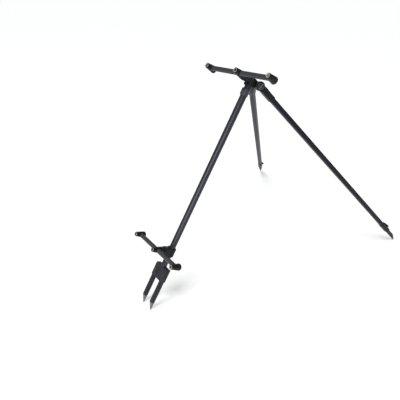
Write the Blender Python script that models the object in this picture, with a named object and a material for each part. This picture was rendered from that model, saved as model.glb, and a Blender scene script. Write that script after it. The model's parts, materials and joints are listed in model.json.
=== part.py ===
"""Tripod that carries two fishing rods on two cross bars.

The front leg is a telescopic tube that leans toward the water and ends in a fork with two
prongs.  Two square rear legs hinge on the hub and fold down beside the front leg.  The upper
cross bar sits on the hub and the lower one on a slider on the front leg.

World frame: the ground is z = 0, the origin is the middle of the footprint, +X runs along the
cross bars, the fork stands at -Y and the rear legs at +Y.
Leg frame: origin on the front leg's axis in the hub, +Z up the leg, -Y toward the cross bars,
+X as in the world.
"""
import math

import bmesh
import bpy
from mathutils import Matrix, Vector

# Gap left between two pieces that seat on or slide in each other
CLEARANCE = 0.0003

# Stance
LEAN = math.radians(33.0)
REAR_SPREAD = math.radians(73.4)
REAR_SPLAY = math.radians(24.1)
UPPER_BAR_TURN = math.radians(-4.7)
LOWER_BAR_TURN = math.radians(-0.3)

# Hub block, measured from the front leg's axis and the upper bar's level
HUB_HALF_WIDTH = 0.0125
HUB_FRONT = 0.0120
HUB_BACK = 0.0145
HUB_ABOVE = 0.0120
HUB_BELOW = 0.0170
HUB_EDGE = 0.0022
NECK_LENGTH = 0.0097
NECK_WALL = 0.0009
ARM_RADIUS = 0.01125
HUB_ARM_LENGTH = 0.0319
LUG_RADIUS = 0.0115
LUG_ROOT = 0.0040

# Front leg tubes and the clamp collar at the top of the outer tube
TUBE_RADIUS = 0.0110
TUBE_WALL = 0.0012
TUBE_LENGTH = 0.6577
INNER_WALL = 0.0012
INNER_SEAT = 0.0197
INNER_OVERLAP = 0.3200
COLLAR_WALL = 0.0014
COLLAR_LENGTH = 0.0218
COLLAR_BOSS_OUT = 0.0038
COLLAR_BOSS_WIDTH = 0.0130
COLLAR_SCREW_RADIUS = 0.0028
COLLAR_SCREW_SUNK = 0.0008

# Fork foot
FORK_WIDTH = 0.0610
FORK_DEPTH = 0.0195
FORK_HEIGHT = 0.0500
FORK_EDGE = 0.0012
PLUG_LENGTH = 0.0250
PRONG_INSET = 0.0081
PRONG_SQUARE = 0.0138
PRONG_EDGE = 0.0010
PRONG_SEAT = 0.0400
PRONG_OUT = 0.1166
PRONG_POINT = 0.0300
PRONG_TIP_SIDE = 0.0050
PRONG_TIP_BACK = 0.0035
TIP_SQUARE = 0.0025
FORK_SCREW_HEAD = 0.0032
FORK_SCREW_SHANK = 0.0017
FORK_SCREW_RISE = 0.0014
FORK_SCREW_LEVEL = 0.0250

# Studs, lock knobs and cross bars
STUD_RADIUS = 0.0040
STUD_IN_ARM = 0.0120
STUD_IN_HEAD = 0.0070
KNOB_RADIUS = 0.0122
KNOB_FLUTE = 0.0007
KNOB_LENGTH = 0.0120
KNOB_EDGE = 0.0010
BAR_RADIUS = 0.00775
BAR_END = 0.0030
UPPER_SPACING = 0.1228
LOWER_SPACING = 0.1043
HEAD_FRONT = 0.0220
HEAD_BACK = 0.0180
HEAD_FRONT_RADIUS = 0.0079
HEAD_BACK_RADIUS = 0.0117
HEAD_ROUND = 0.0045
HEAD_CHAMFER = 0.0005
INSERT_RADIUS = 0.00625
INSERT_BORE = 0.0044
INSERT_LENGTH = 0.0120
INSERT_PROUD = 0.0006

# Slider on the front leg, measured from the lower bar's level; it rests this far above the
# fork block
SLIDER_REST = 0.0430
SLIDER_WALL = 0.0050
SLIDER_ABOVE = 0.0116
SLIDER_BELOW = 0.0204
SLIDER_ARM_LENGTH = 0.0346
SLIDER_ARM_HALF_WIDTH = 0.0112
SLIDER_ARM_HALF_HEIGHT = 0.0106
SLIDER_EDGE = 0.0015

# Rear leg hinges
PIVOT_SIDE = 0.0190
PIVOT_BACK = 0.0300
KNUCKLE_RADIUS = 0.0148
KNUCKLE_WIDTH = 0.0140
SOCKET_SQUARE = 0.0196
SOCKET_TOP = 0.0150
SOCKET_END = 0.0650
SOCKET_ROOF = 0.0055
SOCKET_EDGE = 0.0015
BOLT_RADIUS = 0.0040
BOLT_IN_LUG = 0.0090
BOLT_HEAD_RADIUS = 0.0113
BOLT_HEAD_RISE = 0.0034
BOLT_HEAD_EDGE = 0.0008
BOLT_SLOT_WIDTH = 0.0018
BOLT_SLOT_DEPTH = 0.0012
WASHER_RADIUS = 0.0090
WASHER_THICKNESS = 0.0010

# Rear leg tubes, foot collars, spikes and thumbscrews; a spike's tip stands this far beyond the
# top of its foot collar
LEG_SQUARE = 0.0160
LEG_EDGE = 0.0015
LEG_WALL = 0.0012
FOOT_SQUARE = 0.0184
FOOT_EDGE = 0.0013
FOOT_SEAT = 0.0140
FOOT_LENGTH = 0.0490
SPIKE_EDGE = 0.0008
SPIKE_INSIDE = 0.3000
SPIKE_BEYOND = 0.1235
SPIKE_POINT = 0.0330
SPIKE_TIP_BACK = 0.0050
SPIKE_TIP_SIDE = 0.0017
THUMB_BELOW_SEAT = 0.0066
THUMB_SHANK = 0.0025
THUMB_GAP = 0.0012
THUMB_RADIUS = 0.0150
THUMB_THICKNESS = 0.0036
THUMB_FLUTE = 0.0009
THUMB_EDGE = 0.0008

# Facets
ROUND_STEPS = 28
SMALL_STEPS = 20
FLUTES = 14
EDGE_STEPS = 2
BORE_RUN = 0.0050

# Finishes: base colour, roughness, metallic
MOULDING = ((0.018, 0.018, 0.020), 0.38, 0.0)
GLOSS_MOULDING = ((0.010, 0.010, 0.011), 0.16, 0.0)
LEG_COATING = ((0.105, 0.108, 0.112), 0.42, 0.60)
REAR_COATING = ((0.060, 0.061, 0.064), 0.45, 0.55)
SPIKE_COATING = ((0.040, 0.040, 0.042), 0.48, 0.50)
SATIN_METAL = ((0.330, 0.335, 0.345), 0.36, 0.90)
BOLT_METAL = ((0.160, 0.175, 0.195), 0.35, 0.85)
INSERT_METAL = ((0.620, 0.520, 0.300), 0.30, 1.0)
STEEL = ((0.420, 0.420, 0.430), 0.32, 1.0)

# Sizes that follow from the ones above, in the leg frame
NECK_BOTTOM = HUB_BELOW + NECK_LENGTH
TUBE_TOP = NECK_BOTTOM + CLEARANCE
TUBE_BORE = TUBE_RADIUS - TUBE_WALL
INNER_RADIUS = TUBE_BORE - CLEARANCE
COLLAR_BOSS_REACH = TUBE_RADIUS + COLLAR_BOSS_OUT
SLIDER_RADIUS = TUBE_RADIUS + SLIDER_WALL
HUB_BORE = INNER_RADIUS + CLEARANCE
NECK_RADIUS = HUB_BORE + NECK_WALL
FORK_TOP = TUBE_TOP + TUBE_LENGTH + CLEARANCE
FORK_BOTTOM = FORK_TOP + FORK_HEIGHT
PRONG_SPACING = FORK_WIDTH - 2.0 * PRONG_INSET
PRONG_TOP = FORK_BOTTOM - PRONG_SEAT
PRONG_TIP = FORK_BOTTOM + PRONG_OUT
SLIDER_LEVEL = FORK_TOP - SLIDER_REST - SLIDER_BELOW
STUD_BORE = STUD_RADIUS + CLEARANCE
BAR_BORE = BAR_RADIUS + CLEARANCE
KNUCKLE_HALF = KNUCKLE_WIDTH / 2.0
LUG_FACE = KNUCKLE_HALF + CLEARANCE
BOLT_BORE = BOLT_RADIUS + CLEARANCE
SPIKE_SQUARE = LEG_SQUARE - 2.0 * (LEG_WALL + CLEARANCE)

# Turning matrices that lay the local Z axis along X or Y
ALONG_X = Matrix.Rotation(math.radians(90.0), 4, "Y")
ALONG_Y = Matrix.Rotation(math.radians(-90.0), 4, "X")


def clear_scene():
    for item in list(bpy.data.objects):
        bpy.data.objects.remove(item, do_unlink=True)


def empty(name, parent=None, location=(0.0, 0.0, 0.0), rotation=(0.0, 0.0, 0.0)):
    """Guide that carries the pieces of one moving body on its joint's axis."""
    guide = bpy.data.objects.new(name, None)
    bpy.context.scene.collection.objects.link(guide)
    guide.parent = parent
    guide.location = location
    guide.rotation_euler = rotation
    return guide


def finish_material(name, finish):
    colour, roughness, metallic = finish
    material = bpy.data.materials.new(name)
    material.use_nodes = True
    shader = material.node_tree.nodes["Principled BSDF"]
    shader.inputs["Base Color"].default_value = (*colour, 1.0)
    shader.inputs["Roughness"].default_value = roughness
    shader.inputs["Metallic"].default_value = metallic
    return material


def place(name, bm, parent, matrix=None):
    """Turn a bmesh into an object under its guide."""
    if matrix is not None:
        bmesh.ops.transform(bm, matrix=matrix, verts=bm.verts)
    bmesh.ops.recalc_face_normals(bm, faces=bm.faces)
    mesh = bpy.data.meshes.new(name)
    bm.to_mesh(mesh)
    bm.free()
    item = bpy.data.objects.new(name, mesh)
    bpy.context.scene.collection.objects.link(item)
    item.parent = parent
    return item


def piece(name, bm, parent, finish, matrix=None):
    """One named sub-part with its own material."""
    item = place(name, bm, parent, matrix)
    item.data.shade_smooth()
    item.data.set_sharp_from_angle(angle=math.radians(32.0))
    item.data.materials.append(finish_material(name + "_finish", finish))
    return item


def shape(target, bm, operation, matrix=None):
    """Cut a shape out of a piece, or join it on."""
    name = f"{target.name}_shape_{len(target.modifiers) + 1}"
    tool = place(name, bm, target.parent, matrix)
    tool.hide_render = True
    tool.display_type = "WIRE"
    modifier = target.modifiers.new(name, "BOOLEAN")
    modifier.operation = operation
    modifier.solver = "EXACT"
    modifier.object = tool


def cut(target, bm, matrix=None):
    shape(target, bm, "DIFFERENCE", matrix)


def join(target, bm, matrix=None):
    shape(target, bm, "UNION", matrix)


def turned(profile, steps=ROUND_STEPS, hollow=False):
    """Revolve (radius, height) points about Z; a hollow profile is a closed loop."""
    bm = bmesh.new()
    points = [bm.verts.new((radius, 0.0, height)) for radius, height in profile]
    edges = [bm.edges.new(pair) for pair in zip(points, points[1:])]
    if hollow:
        edges.append(bm.edges.new((points[-1], points[0])))
    bmesh.ops.spin(
        bm,
        geom=points + edges,
        cent=(0.0, 0.0, 0.0),
        axis=(0.0, 0.0, 1.0),
        angle=math.tau,
        steps=steps,
        use_merge=True,
    )
    bmesh.ops.remove_doubles(bm, verts=bm.verts, dist=0.000001)
    return bm


def rod(radius, low, high, steps=ROUND_STEPS, edge=0.0):
    """Solid round rod between two heights, with chamfered ends if edge is given."""
    if edge > 0.0:
        profile = [
            (0.0, low),
            (radius - edge, low),
            (radius, low + edge),
            (radius, high - edge),
            (radius - edge, high),
            (0.0, high),
        ]
    else:
        profile = [(0.0, low), (radius, low), (radius, high), (0.0, high)]
    return turned(profile, steps)


def ring(outer, bore, low, high, steps=ROUND_STEPS, edge=0.0):
    """Round tube or washer between two heights, chamfered on its outside if edge is given."""
    profile = [(bore, low), (outer - edge, low)]
    if edge > 0.0:
        profile += [(outer, low + edge), (outer, high - edge)]
    profile += [(outer - edge, high), (bore, high)]
    return turned(profile, steps, hollow=True)


def block(low, high, edge=0.0, along=None):
    """Box between two corners; along names the axis whose four edges alone are rounded."""
    low = Vector(low)
    high = Vector(high)
    bm = bmesh.new()
    bmesh.ops.create_cube(bm, size=1.0)
    bmesh.ops.scale(bm, vec=high - low, verts=bm.verts)
    bmesh.ops.translate(bm, vec=(high + low) / 2.0, verts=bm.verts)
    if edge > 0.0:
        chosen = list(bm.edges)
        if along is not None:
            chosen = [line for line in chosen if edge_runs_along(line, along)]
        bmesh.ops.bevel(
            bm,
            geom=chosen,
            offset=edge,
            segments=EDGE_STEPS,
            profile=0.5,
            affect="EDGES",
        )
    return bm


def edge_runs_along(line, axis):
    direction = (line.verts[1].co - line.verts[0].co).normalized()
    return abs(direction[axis]) > 0.99


def square_bar(square, edge, low, high):
    """Upright square bar with rounded corners, centred on Z."""
    half = square / 2.0
    return block((-half, -half, low), (half, half, high), edge, along=2)


def pointed_bar(square, edge, top, bottom, point, tip, side, back):
    """Square bar whose lower end narrows to a small blunt tip set off the axis."""
    bm = square_bar(square, edge, -bottom + point, -top)
    lower = [face for face in bm.faces if face.normal.z < -0.99]
    grown = bmesh.ops.extrude_face_region(bm, geom=lower)
    bmesh.ops.delete(bm, geom=lower, context="FACES")
    ends = [item for item in grown["geom"] if isinstance(item, bmesh.types.BMVert)]
    share = tip / square
    for vert in ends:
        vert.co.x = vert.co.x * share + side
        vert.co.y = vert.co.y * share + back
        vert.co.z = -bottom
    return bm


def fluted(radius, flute, bore, low, high, edge):
    """Round grip with flutes along its rim, chamfered faces and a bore."""
    bm = bmesh.new()
    count = 2 * FLUTES
    levels = [
        (low, edge),
        (low + edge, 0.0),
        (high - edge, 0.0),
        (high, edge),
    ]
    loops = []
    for height, inset in levels:
        loop = []
        for index in range(count):
            reach = radius - inset - (flute if index % 2 else 0.0)
            angle = math.tau * index / count
            loop.append(bm.verts.new((reach * math.cos(angle), reach * math.sin(angle), height)))
        loops.append(loop)
    for height in (high, low):
        loop = []
        for index in range(count):
            angle = math.tau * index / count
            loop.append(bm.verts.new((bore * math.cos(angle), bore * math.sin(angle), height)))
        loops.append(loop)
    for index, loop in enumerate(loops):
        follower = loops[(index + 1) % len(loops)]
        for step in range(count):
            after = (step + 1) % count
            bm.faces.new((loop[step], loop[after], follower[after], follower[step]))
    return bm


def hinge_matrix(side):
    """Lays the local X axis along a rear hinge, at its pivot point in the leg frame."""
    pivot = Matrix.Translation((side * PIVOT_SIDE, PIVOT_BACK, 0.0))
    return pivot @ Matrix.Rotation(-side * REAR_SPLAY, 4, "Z")


def ground_height():
    """Height of the leg frame's origin that stands the fork's tips on the ground."""
    lowest = PRONG_TIP_BACK + TIP_SQUARE / 2.0
    return PRONG_TIP * math.cos(LEAN) + lowest * math.sin(LEAN)


def rear_leg_length():
    """Length from hinge to tip that stands a rear leg on the same ground as the fork."""
    turn = Matrix.Rotation(-LEAN, 4, "X") @ hinge_matrix(1)
    pivot_height = ground_height() + turn.translation.z
    axes = (turn @ Matrix.Rotation(REAR_SPREAD, 4, "X")).to_3x3()
    across = axes.col[0].z
    back = axes.col[1].z
    up = axes.col[2].z
    corner = TIP_SQUARE / 2.0 * (abs(across) + abs(back))
    aside = SPIKE_TIP_SIDE * across + SPIKE_TIP_BACK * back
    return (pivot_height - aside - corner) / up


def foot_top():
    """Distance from a rear leg's hinge to the top of its foot collar."""
    return rear_leg_length() - SPIKE_BEYOND


def footprint_shift():
    """World Y of the leg frame's origin that centres the footprint on the world origin."""
    lean = Matrix.Rotation(-LEAN, 4, "X")
    front = lean @ Vector((0.0, PRONG_TIP_BACK, -PRONG_TIP))
    leg = lean @ hinge_matrix(1) @ Matrix.Rotation(REAR_SPREAD, 4, "X")
    rear = leg @ Vector((-SPIKE_TIP_SIDE, -SPIKE_TIP_BACK, -rear_leg_length()))
    return -(front.y + rear.y) / 2.0


def build_hub(frame):
    corner_low = (-HUB_HALF_WIDTH, -HUB_FRONT, -HUB_BELOW)
    corner_high = (HUB_HALF_WIDTH, HUB_BACK, HUB_ABOVE)
    hub = piece("hub_body", block(corner_low, corner_high, HUB_EDGE), frame, MOULDING)
    join(hub, rod(ARM_RADIUS, -HUB_ARM_LENGTH, 0.0), ALONG_Y)
    join(hub, rod(NECK_RADIUS, -NECK_BOTTOM, -HUB_BELOW / 2.0))
    join(hub, lug_wedge())
    inner_top = NECK_BOTTOM - INNER_SEAT - CLEARANCE
    cut(hub, rod(HUB_BORE, -NECK_BOTTOM - BORE_RUN, -inner_top))
    stud_end = HUB_ARM_LENGTH - STUD_IN_ARM - CLEARANCE
    cut(hub, rod(STUD_BORE, -HUB_ARM_LENGTH - BORE_RUN, -stud_end, SMALL_STEPS), ALONG_Y)
    for side in (-1, 1):
        hole_end = LUG_FACE + BOLT_IN_LUG + CLEARANCE
        hole = rod(BOLT_BORE, -hole_end, BORE_RUN - LUG_FACE, SMALL_STEPS)
        turn = ALONG_X if side > 0 else Matrix.Rotation(math.pi, 4, "Z") @ ALONG_X
        cut(hub, hole, hinge_matrix(side) @ turn)


def lug_wedge():
    """Rear tongue of the hub: its two flat sides lie square to the two hinge axes."""
    centre = PIVOT_BACK + LUG_FACE * math.sin(REAR_SPLAY)
    face = PIVOT_SIDE - LUG_FACE * math.cos(REAR_SPLAY)
    root = HUB_BACK - LUG_ROOT
    steps = ROUND_STEPS // 2
    outline = [(root, -LUG_RADIUS)]
    for index in range(steps + 1):
        angle = math.pi * (index / steps - 0.5)
        outline.append(
            (centre + LUG_RADIUS * math.cos(angle), LUG_RADIUS * math.sin(angle))
        )
    outline.append((root, LUG_RADIUS))
    bm = bmesh.new()
    loops = []
    for side in (-1, 1):
        loop = []
        for y, z in outline:
            reach = face + (y - centre) * math.tan(REAR_SPLAY)
            loop.append(bm.verts.new((side * reach, y, z)))
        loops.append(loop)
        bm.faces.new(loop)
    count = len(outline)
    for step in range(count):
        after = (step + 1) % count
        near, far = loops
        bm.faces.new((near[step], near[after], far[after], far[step]))
    return bm


def build_front_leg(frame):
    inner_top = NECK_BOTTOM - INNER_SEAT
    inner = ring(INNER_RADIUS, INNER_RADIUS - INNER_WALL, -TUBE_TOP - INNER_OVERLAP, -inner_top)
    piece("main_inner_tube", inner, frame, SATIN_METAL)
    tube = ring(TUBE_RADIUS, TUBE_BORE, -TUBE_TOP - TUBE_LENGTH, -TUBE_TOP)
    piece("main_leg_tube", tube, frame, LEG_COATING)
    build_collar(frame)
    build_fork(frame)


def build_collar(frame):
    bore = TUBE_RADIUS + CLEARANCE
    bottom = TUBE_TOP + COLLAR_LENGTH
    body = ring(bore + COLLAR_WALL, bore, -bottom, -TUBE_TOP)
    collar = piece("main_leg_collar", body, frame, MOULDING)
    half = COLLAR_BOSS_WIDTH / 2.0
    inside = math.sqrt(bore * bore - half * half) + COLLAR_WALL / 2.0
    boss = block((-half, -COLLAR_BOSS_REACH, -bottom), (half, -inside, -TUBE_TOP))
    join(collar, boss)
    cut(collar, rod(bore, -bottom - BORE_RUN, BORE_RUN - TUBE_TOP))
    level = TUBE_TOP + COLLAR_LENGTH / 2.0
    lift = Matrix.Translation((0.0, 0.0, -level))
    hole = rod(COLLAR_SCREW_RADIUS + CLEARANCE, -COLLAR_BOSS_REACH - BORE_RUN, -TUBE_BORE, SMALL_STEPS)
    cut(collar, hole, lift @ ALONG_Y)
    outer = COLLAR_BOSS_REACH - COLLAR_SCREW_SUNK
    screw = rod(COLLAR_SCREW_RADIUS, -outer, -TUBE_RADIUS - CLEARANCE, SMALL_STEPS)
    piece("main_leg_collar_screw", screw, frame, STEEL, lift @ ALONG_Y)


def build_fork(frame):
    half_width = FORK_WIDTH / 2.0
    half_depth = FORK_DEPTH / 2.0
    low = (-half_width, -half_depth, -FORK_BOTTOM)
    high = (half_width, half_depth, -FORK_TOP)
    fork = piece("fork_block", block(low, high, FORK_EDGE), frame, MOULDING)
    plug_radius = TUBE_BORE - CLEARANCE
    join(fork, rod(plug_radius, -FORK_TOP - FORK_EDGE * 2.0, -FORK_TOP + PLUG_LENGTH))
    for name, side in (("left", -1), ("right", 1)):
        shift = Matrix.Translation((side * PRONG_SPACING / 2.0, 0.0, 0.0))
        socket = square_bar(
            PRONG_SQUARE + 2.0 * CLEARANCE,
            0.0,
            -FORK_BOTTOM - BORE_RUN,
            -PRONG_TOP + CLEARANCE,
        )
        cut(fork, socket, shift)
        prong = pointed_bar(
            PRONG_SQUARE,
            PRONG_EDGE,
            PRONG_TOP,
            PRONG_TIP,
            PRONG_POINT,
            TIP_SQUARE,
            PRONG_TIP_SIDE,
            PRONG_TIP_BACK,
        )
        piece(f"prong_{name}", prong, frame, SPIKE_COATING, shift)
        build_fork_screw(frame, fork, name, side)


def build_fork_screw(frame, fork, name, side):
    """Pan head screw through the fork's front wall that holds one prong."""
    front = FORK_DEPTH / 2.0
    prong_face = PRONG_SQUARE / 2.0
    place_at = Matrix.Translation(
        (side * PRONG_SPACING / 2.0, 0.0, -FORK_TOP - FORK_SCREW_LEVEL)
    )
    hole = rod(FORK_SCREW_SHANK + CLEARANCE, -front - BORE_RUN, -prong_face, SMALL_STEPS)
    cut(fork, hole, place_at @ ALONG_Y)
    seat = front + CLEARANCE
    top = seat + FORK_SCREW_RISE
    profile = [
        (0.0, -top),
        (FORK_SCREW_HEAD - FORK_SCREW_RISE / 2.0, -top),
        (FORK_SCREW_HEAD, -seat - FORK_SCREW_RISE / 2.0),
        (FORK_SCREW_HEAD, -seat),
        (FORK_SCREW_SHANK, -seat),
        (FORK_SCREW_SHANK, -prong_face - CLEARANCE),
        (0.0, -prong_face - CLEARANCE),
    ]
    piece(f"fork_screw_{name}", turned(profile, SMALL_STEPS), frame, STEEL, place_at @ ALONG_Y)


def build_stud_and_knob(level, frame, arm_length):
    """Fixed stud in an arm, and the fluted knob on it that locks the bar."""
    knob_low = arm_length + CLEARANCE
    knob_high = knob_low + KNOB_LENGTH
    stud_high = knob_high + CLEARANCE + STUD_IN_HEAD
    stud = rod(STUD_RADIUS, -stud_high, STUD_IN_ARM - arm_length, SMALL_STEPS)
    piece(f"{level}_stud", stud, frame, STEEL, ALONG_Y)
    grip = fluted(KNOB_RADIUS, KNOB_FLUTE, STUD_BORE, -knob_high, -knob_low, KNOB_EDGE)
    axis = empty(f"axis_{level}_knob", frame)
    piece(f"{level}_lock_knob", grip, axis, GLOSS_MOULDING, ALONG_Y)


def head_profile(stud_bore):
    """Tapered head, revolved about the insert's axis; height runs from insert to far end."""
    recess = INSERT_LENGTH - INSERT_PROUD + CLEARANCE
    insert_bore = INSERT_RADIUS + CLEARANCE
    floor = recess - HEAD_FRONT
    profile = [
        (0.0, floor),
        (insert_bore, floor),
        (insert_bore, -HEAD_FRONT),
        (HEAD_FRONT_RADIUS - HEAD_CHAMFER, -HEAD_FRONT),
        (HEAD_FRONT_RADIUS, HEAD_CHAMFER - HEAD_FRONT),
    ]
    steps = 2 * EDGE_STEPS
    for index in range(steps + 1):
        angle = math.pi / 2.0 * index / steps
        radius = HEAD_BACK_RADIUS - HEAD_ROUND * (1.0 - math.cos(angle))
        profile.append((radius, HEAD_BACK - HEAD_ROUND * (1.0 - math.sin(angle))))
    if stud_bore:
        roof = HEAD_BACK - STUD_IN_HEAD - CLEARANCE
        profile += [(STUD_BORE, HEAD_BACK), (STUD_BORE, roof), (0.0, roof)]
    else:
        profile.append((0.0, HEAD_BACK))
    return profile


def build_bar(level, frame, arm_length, spacing, turn):
    """Cross bar with three heads, turning about the stud in its middle head."""
    build_stud_and_knob(level, frame, arm_length)
    reach = arm_length + KNOB_LENGTH + 2.0 * CLEARANCE + HEAD_BACK
    axis = empty(f"axis_{level}_bar", frame, (0.0, -reach, 0.0), (0.0, turn, 0.0))
    end = spacing - BAR_END
    piece(f"{level}_bar", rod(BAR_RADIUS, -end, end), axis, SATIN_METAL, ALONG_X)
    for name, side in (("left", -1), ("middle", 0), ("right", 1)):
        shift = Matrix.Translation((side * spacing, 0.0, 0.0))
        bm = turned(head_profile(side == 0))
        head = piece(f"{level}_head_{name}", bm, axis, MOULDING, shift @ ALONG_Y)
        outer = end + CLEARANCE
        inner = spacing - HEAD_BACK_RADIUS - BORE_RUN
        if side == 0:
            span = (-HEAD_BACK_RADIUS - BORE_RUN, HEAD_BACK_RADIUS + BORE_RUN)
        elif side > 0:
            span = (inner, outer)
        else:
            span = (-outer, -inner)
        cut(head, rod(BAR_BORE, *span), ALONG_X)
        face = -HEAD_FRONT - INSERT_PROUD
        insert = ring(INSERT_RADIUS, INSERT_BORE, face, face + INSERT_LENGTH)
        piece(f"{level}_insert_{name}", insert, axis, INSERT_METAL, shift @ ALONG_Y)


def build_slider(frame):
    """Sleeve on the front leg whose arm carries the lower bar."""
    axis = empty("axis_slider", frame, (0.0, 0.0, -SLIDER_LEVEL))
    sleeve = rod(SLIDER_RADIUS, -SLIDER_BELOW, SLIDER_ABOVE, edge=SLIDER_EDGE)
    slider = piece("slider_block", sleeve, axis, MOULDING)
    low = (-SLIDER_ARM_HALF_WIDTH, -SLIDER_ARM_LENGTH, -SLIDER_ARM_HALF_HEIGHT)
    high = (SLIDER_ARM_HALF_WIDTH, 0.0, SLIDER_ARM_HALF_HEIGHT)
    join(slider, block(low, high, SLIDER_EDGE))
    bore = TUBE_RADIUS + CLEARANCE
    cut(slider, rod(bore, -SLIDER_BELOW - BORE_RUN, SLIDER_ABOVE + BORE_RUN))
    stud_end = SLIDER_ARM_LENGTH - STUD_IN_ARM - CLEARANCE
    cut(slider, rod(STUD_BORE, -SLIDER_ARM_LENGTH - BORE_RUN, -stud_end, SMALL_STEPS), ALONG_Y)
    build_bar("lower", axis, SLIDER_ARM_LENGTH, LOWER_SPACING, LOWER_BAR_TURN)


def build_hinge_bolt(name, side, frame):
    """Slotted bolt and washer on the outer face of a rear hinge, screwed into the hub."""
    turn = ALONG_X if side > 0 else Matrix.Rotation(math.pi, 4, "Z") @ ALONG_X
    lay = hinge_matrix(side) @ turn
    washer_low = KNUCKLE_HALF + CLEARANCE
    washer_high = washer_low + WASHER_THICKNESS
    washer = ring(WASHER_RADIUS, BOLT_BORE, washer_low, washer_high, SMALL_STEPS)
    piece(f"{name}_leg_washer", washer, frame, STEEL, lay)
    seat = washer_high + CLEARANCE
    top = seat + BOLT_HEAD_RISE
    profile = [
        (0.0, -LUG_FACE - BOLT_IN_LUG),
        (BOLT_RADIUS, -LUG_FACE - BOLT_IN_LUG),
        (BOLT_RADIUS, seat),
        (BOLT_HEAD_RADIUS, seat),
        (BOLT_HEAD_RADIUS, top - BOLT_HEAD_EDGE),
        (BOLT_HEAD_RADIUS - BOLT_HEAD_EDGE, top),
        (0.0, top),
    ]
    bolt = piece(f"{name}_leg_bolt", turned(profile), frame, BOLT_METAL, lay)
    half = BOLT_SLOT_WIDTH / 2.0
    run = BOLT_HEAD_RADIUS + BORE_RUN
    slot = block((-half, -run, top - BOLT_SLOT_DEPTH), (half, run, top + BORE_RUN))
    cut(bolt, slot, lay)


def build_rear_leg(name, side, frame):
    """Folding leg: hinge knuckle with socket, square tube, foot collar, spike, thumbscrew."""
    build_hinge_bolt(name, side, frame)
    axis = empty(
        f"axis_{name}_leg",
        frame,
        (side * PIVOT_SIDE, PIVOT_BACK, 0.0),
        (REAR_SPREAD, 0.0, -side * REAR_SPLAY),
    )
    build_knuckle(name, axis)
    tube_top = SOCKET_TOP + SOCKET_ROOF + CLEARANCE
    tube_end = foot_top() + FOOT_SEAT
    tube = piece(
        f"{name}_leg_tube",
        square_bar(LEG_SQUARE, LEG_EDGE, -tube_end, -tube_top),
        axis,
        REAR_COATING,
    )
    cut(
        tube,
        square_bar(
            LEG_SQUARE - 2.0 * LEG_WALL,
            0.0,
            -tube_end - BORE_RUN,
            -tube_top + BORE_RUN,
        ),
    )
    build_foot(name, side, axis)


def build_knuckle(name, axis):
    half = SOCKET_SQUARE / 2.0
    knuckle = piece(
        f"{name}_leg_joint",
        rod(KNUCKLE_RADIUS, -KNUCKLE_HALF, KNUCKLE_HALF, edge=SOCKET_EDGE / 2.0),
        axis,
        MOULDING,
        ALONG_X,
    )
    web_low = (-KNUCKLE_HALF + SOCKET_EDGE / 2.0, -half, -SOCKET_TOP - SOCKET_ROOF / 2.0)
    join(knuckle, block(web_low, (KNUCKLE_HALF - SOCKET_EDGE / 2.0, half, 0.0)))
    socket = block((-half, -half, -SOCKET_END), (half, half, -SOCKET_TOP), SOCKET_EDGE)
    join(knuckle, socket)
    cut(knuckle, rod(BOLT_BORE, -half - BORE_RUN, half + BORE_RUN, SMALL_STEPS), ALONG_X)
    bore = square_bar(
        LEG_SQUARE + 2.0 * CLEARANCE,
        LEG_EDGE,
        -SOCKET_END - BORE_RUN,
        -SOCKET_TOP - SOCKET_ROOF,
    )
    cut(knuckle, bore)


def build_foot(name, side, axis):
    """Moulded foot collar, the spike that slides in the leg, and its thumbscrew."""
    top = foot_top()
    bottom = top + FOOT_LENGTH
    collar = piece(
        f"{name}_leg_collar",
        square_bar(FOOT_SQUARE, FOOT_EDGE, -bottom, -top),
        axis,
        MOULDING,
    )
    seat = square_bar(
        LEG_SQUARE + 2.0 * CLEARANCE,
        LEG_EDGE,
        -top - FOOT_SEAT - CLEARANCE,
        -top + BORE_RUN,
    )
    cut(collar, seat)
    guide = square_bar(
        SPIKE_SQUARE + 2.0 * CLEARANCE,
        0.0,
        -bottom - BORE_RUN,
        -top + BORE_RUN,
    )
    cut(collar, guide)
    thumb_level = top + FOOT_SEAT + THUMB_BELOW_SEAT
    level = Matrix.Translation((0.0, 0.0, -thumb_level))
    outer = FOOT_SQUARE / 2.0
    hole = rod(THUMB_SHANK + CLEARANCE, 0.0, outer + BORE_RUN, SMALL_STEPS)
    cut(collar, hole, level @ ALONG_Y)
    slide = empty(f"axis_{name}_spike", axis)
    spike = pointed_bar(
        SPIKE_SQUARE,
        SPIKE_EDGE,
        top - SPIKE_INSIDE,
        rear_leg_length(),
        SPIKE_POINT,
        TIP_SQUARE,
        -side * SPIKE_TIP_SIDE,
        -SPIKE_TIP_BACK,
    )
    piece(f"{name}_leg_spike", spike, slide, SPIKE_COATING)
    screw_axis = empty(f"axis_{name}_thumbscrew", axis, (0.0, 0.0, -thumb_level))
    low = outer + THUMB_GAP
    grip = fluted(
        THUMB_RADIUS,
        THUMB_FLUTE,
        THUMB_SHANK - CLEARANCE,
        low,
        low + THUMB_THICKNESS,
        THUMB_EDGE,
    )
    screw = piece(f"{name}_leg_thumbscrew", grip, screw_axis, GLOSS_MOULDING, ALONG_Y)
    shank_end = SPIKE_SQUARE / 2.0 + CLEARANCE
    shank_top = low + THUMB_THICKNESS / 2.0
    join(screw, rod(THUMB_SHANK, shank_end, shank_top, SMALL_STEPS), ALONG_Y)
    cap = rod(THUMB_SHANK, low + THUMB_THICKNESS / 3.0, low + THUMB_THICKNESS, SMALL_STEPS)
    join(screw, cap, ALONG_Y)


def build_tripod():
    clear_scene()
    frame = empty(
        "axis_front_leg",
        None,
        (0.0, footprint_shift(), ground_height()),
        (-LEAN, 0.0, 0.0),
    )
    build_hub(frame)
    build_front_leg(frame)
    build_bar("upper", frame, HUB_ARM_LENGTH, UPPER_SPACING, UPPER_BAR_TURN)
    build_slider(frame)
    for name, side in (("left", -1), ("right", 1)):
        build_rear_leg(name, side, frame)
    bpy.context.view_layer.update()


build_tripod()
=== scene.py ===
import json
import math

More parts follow.
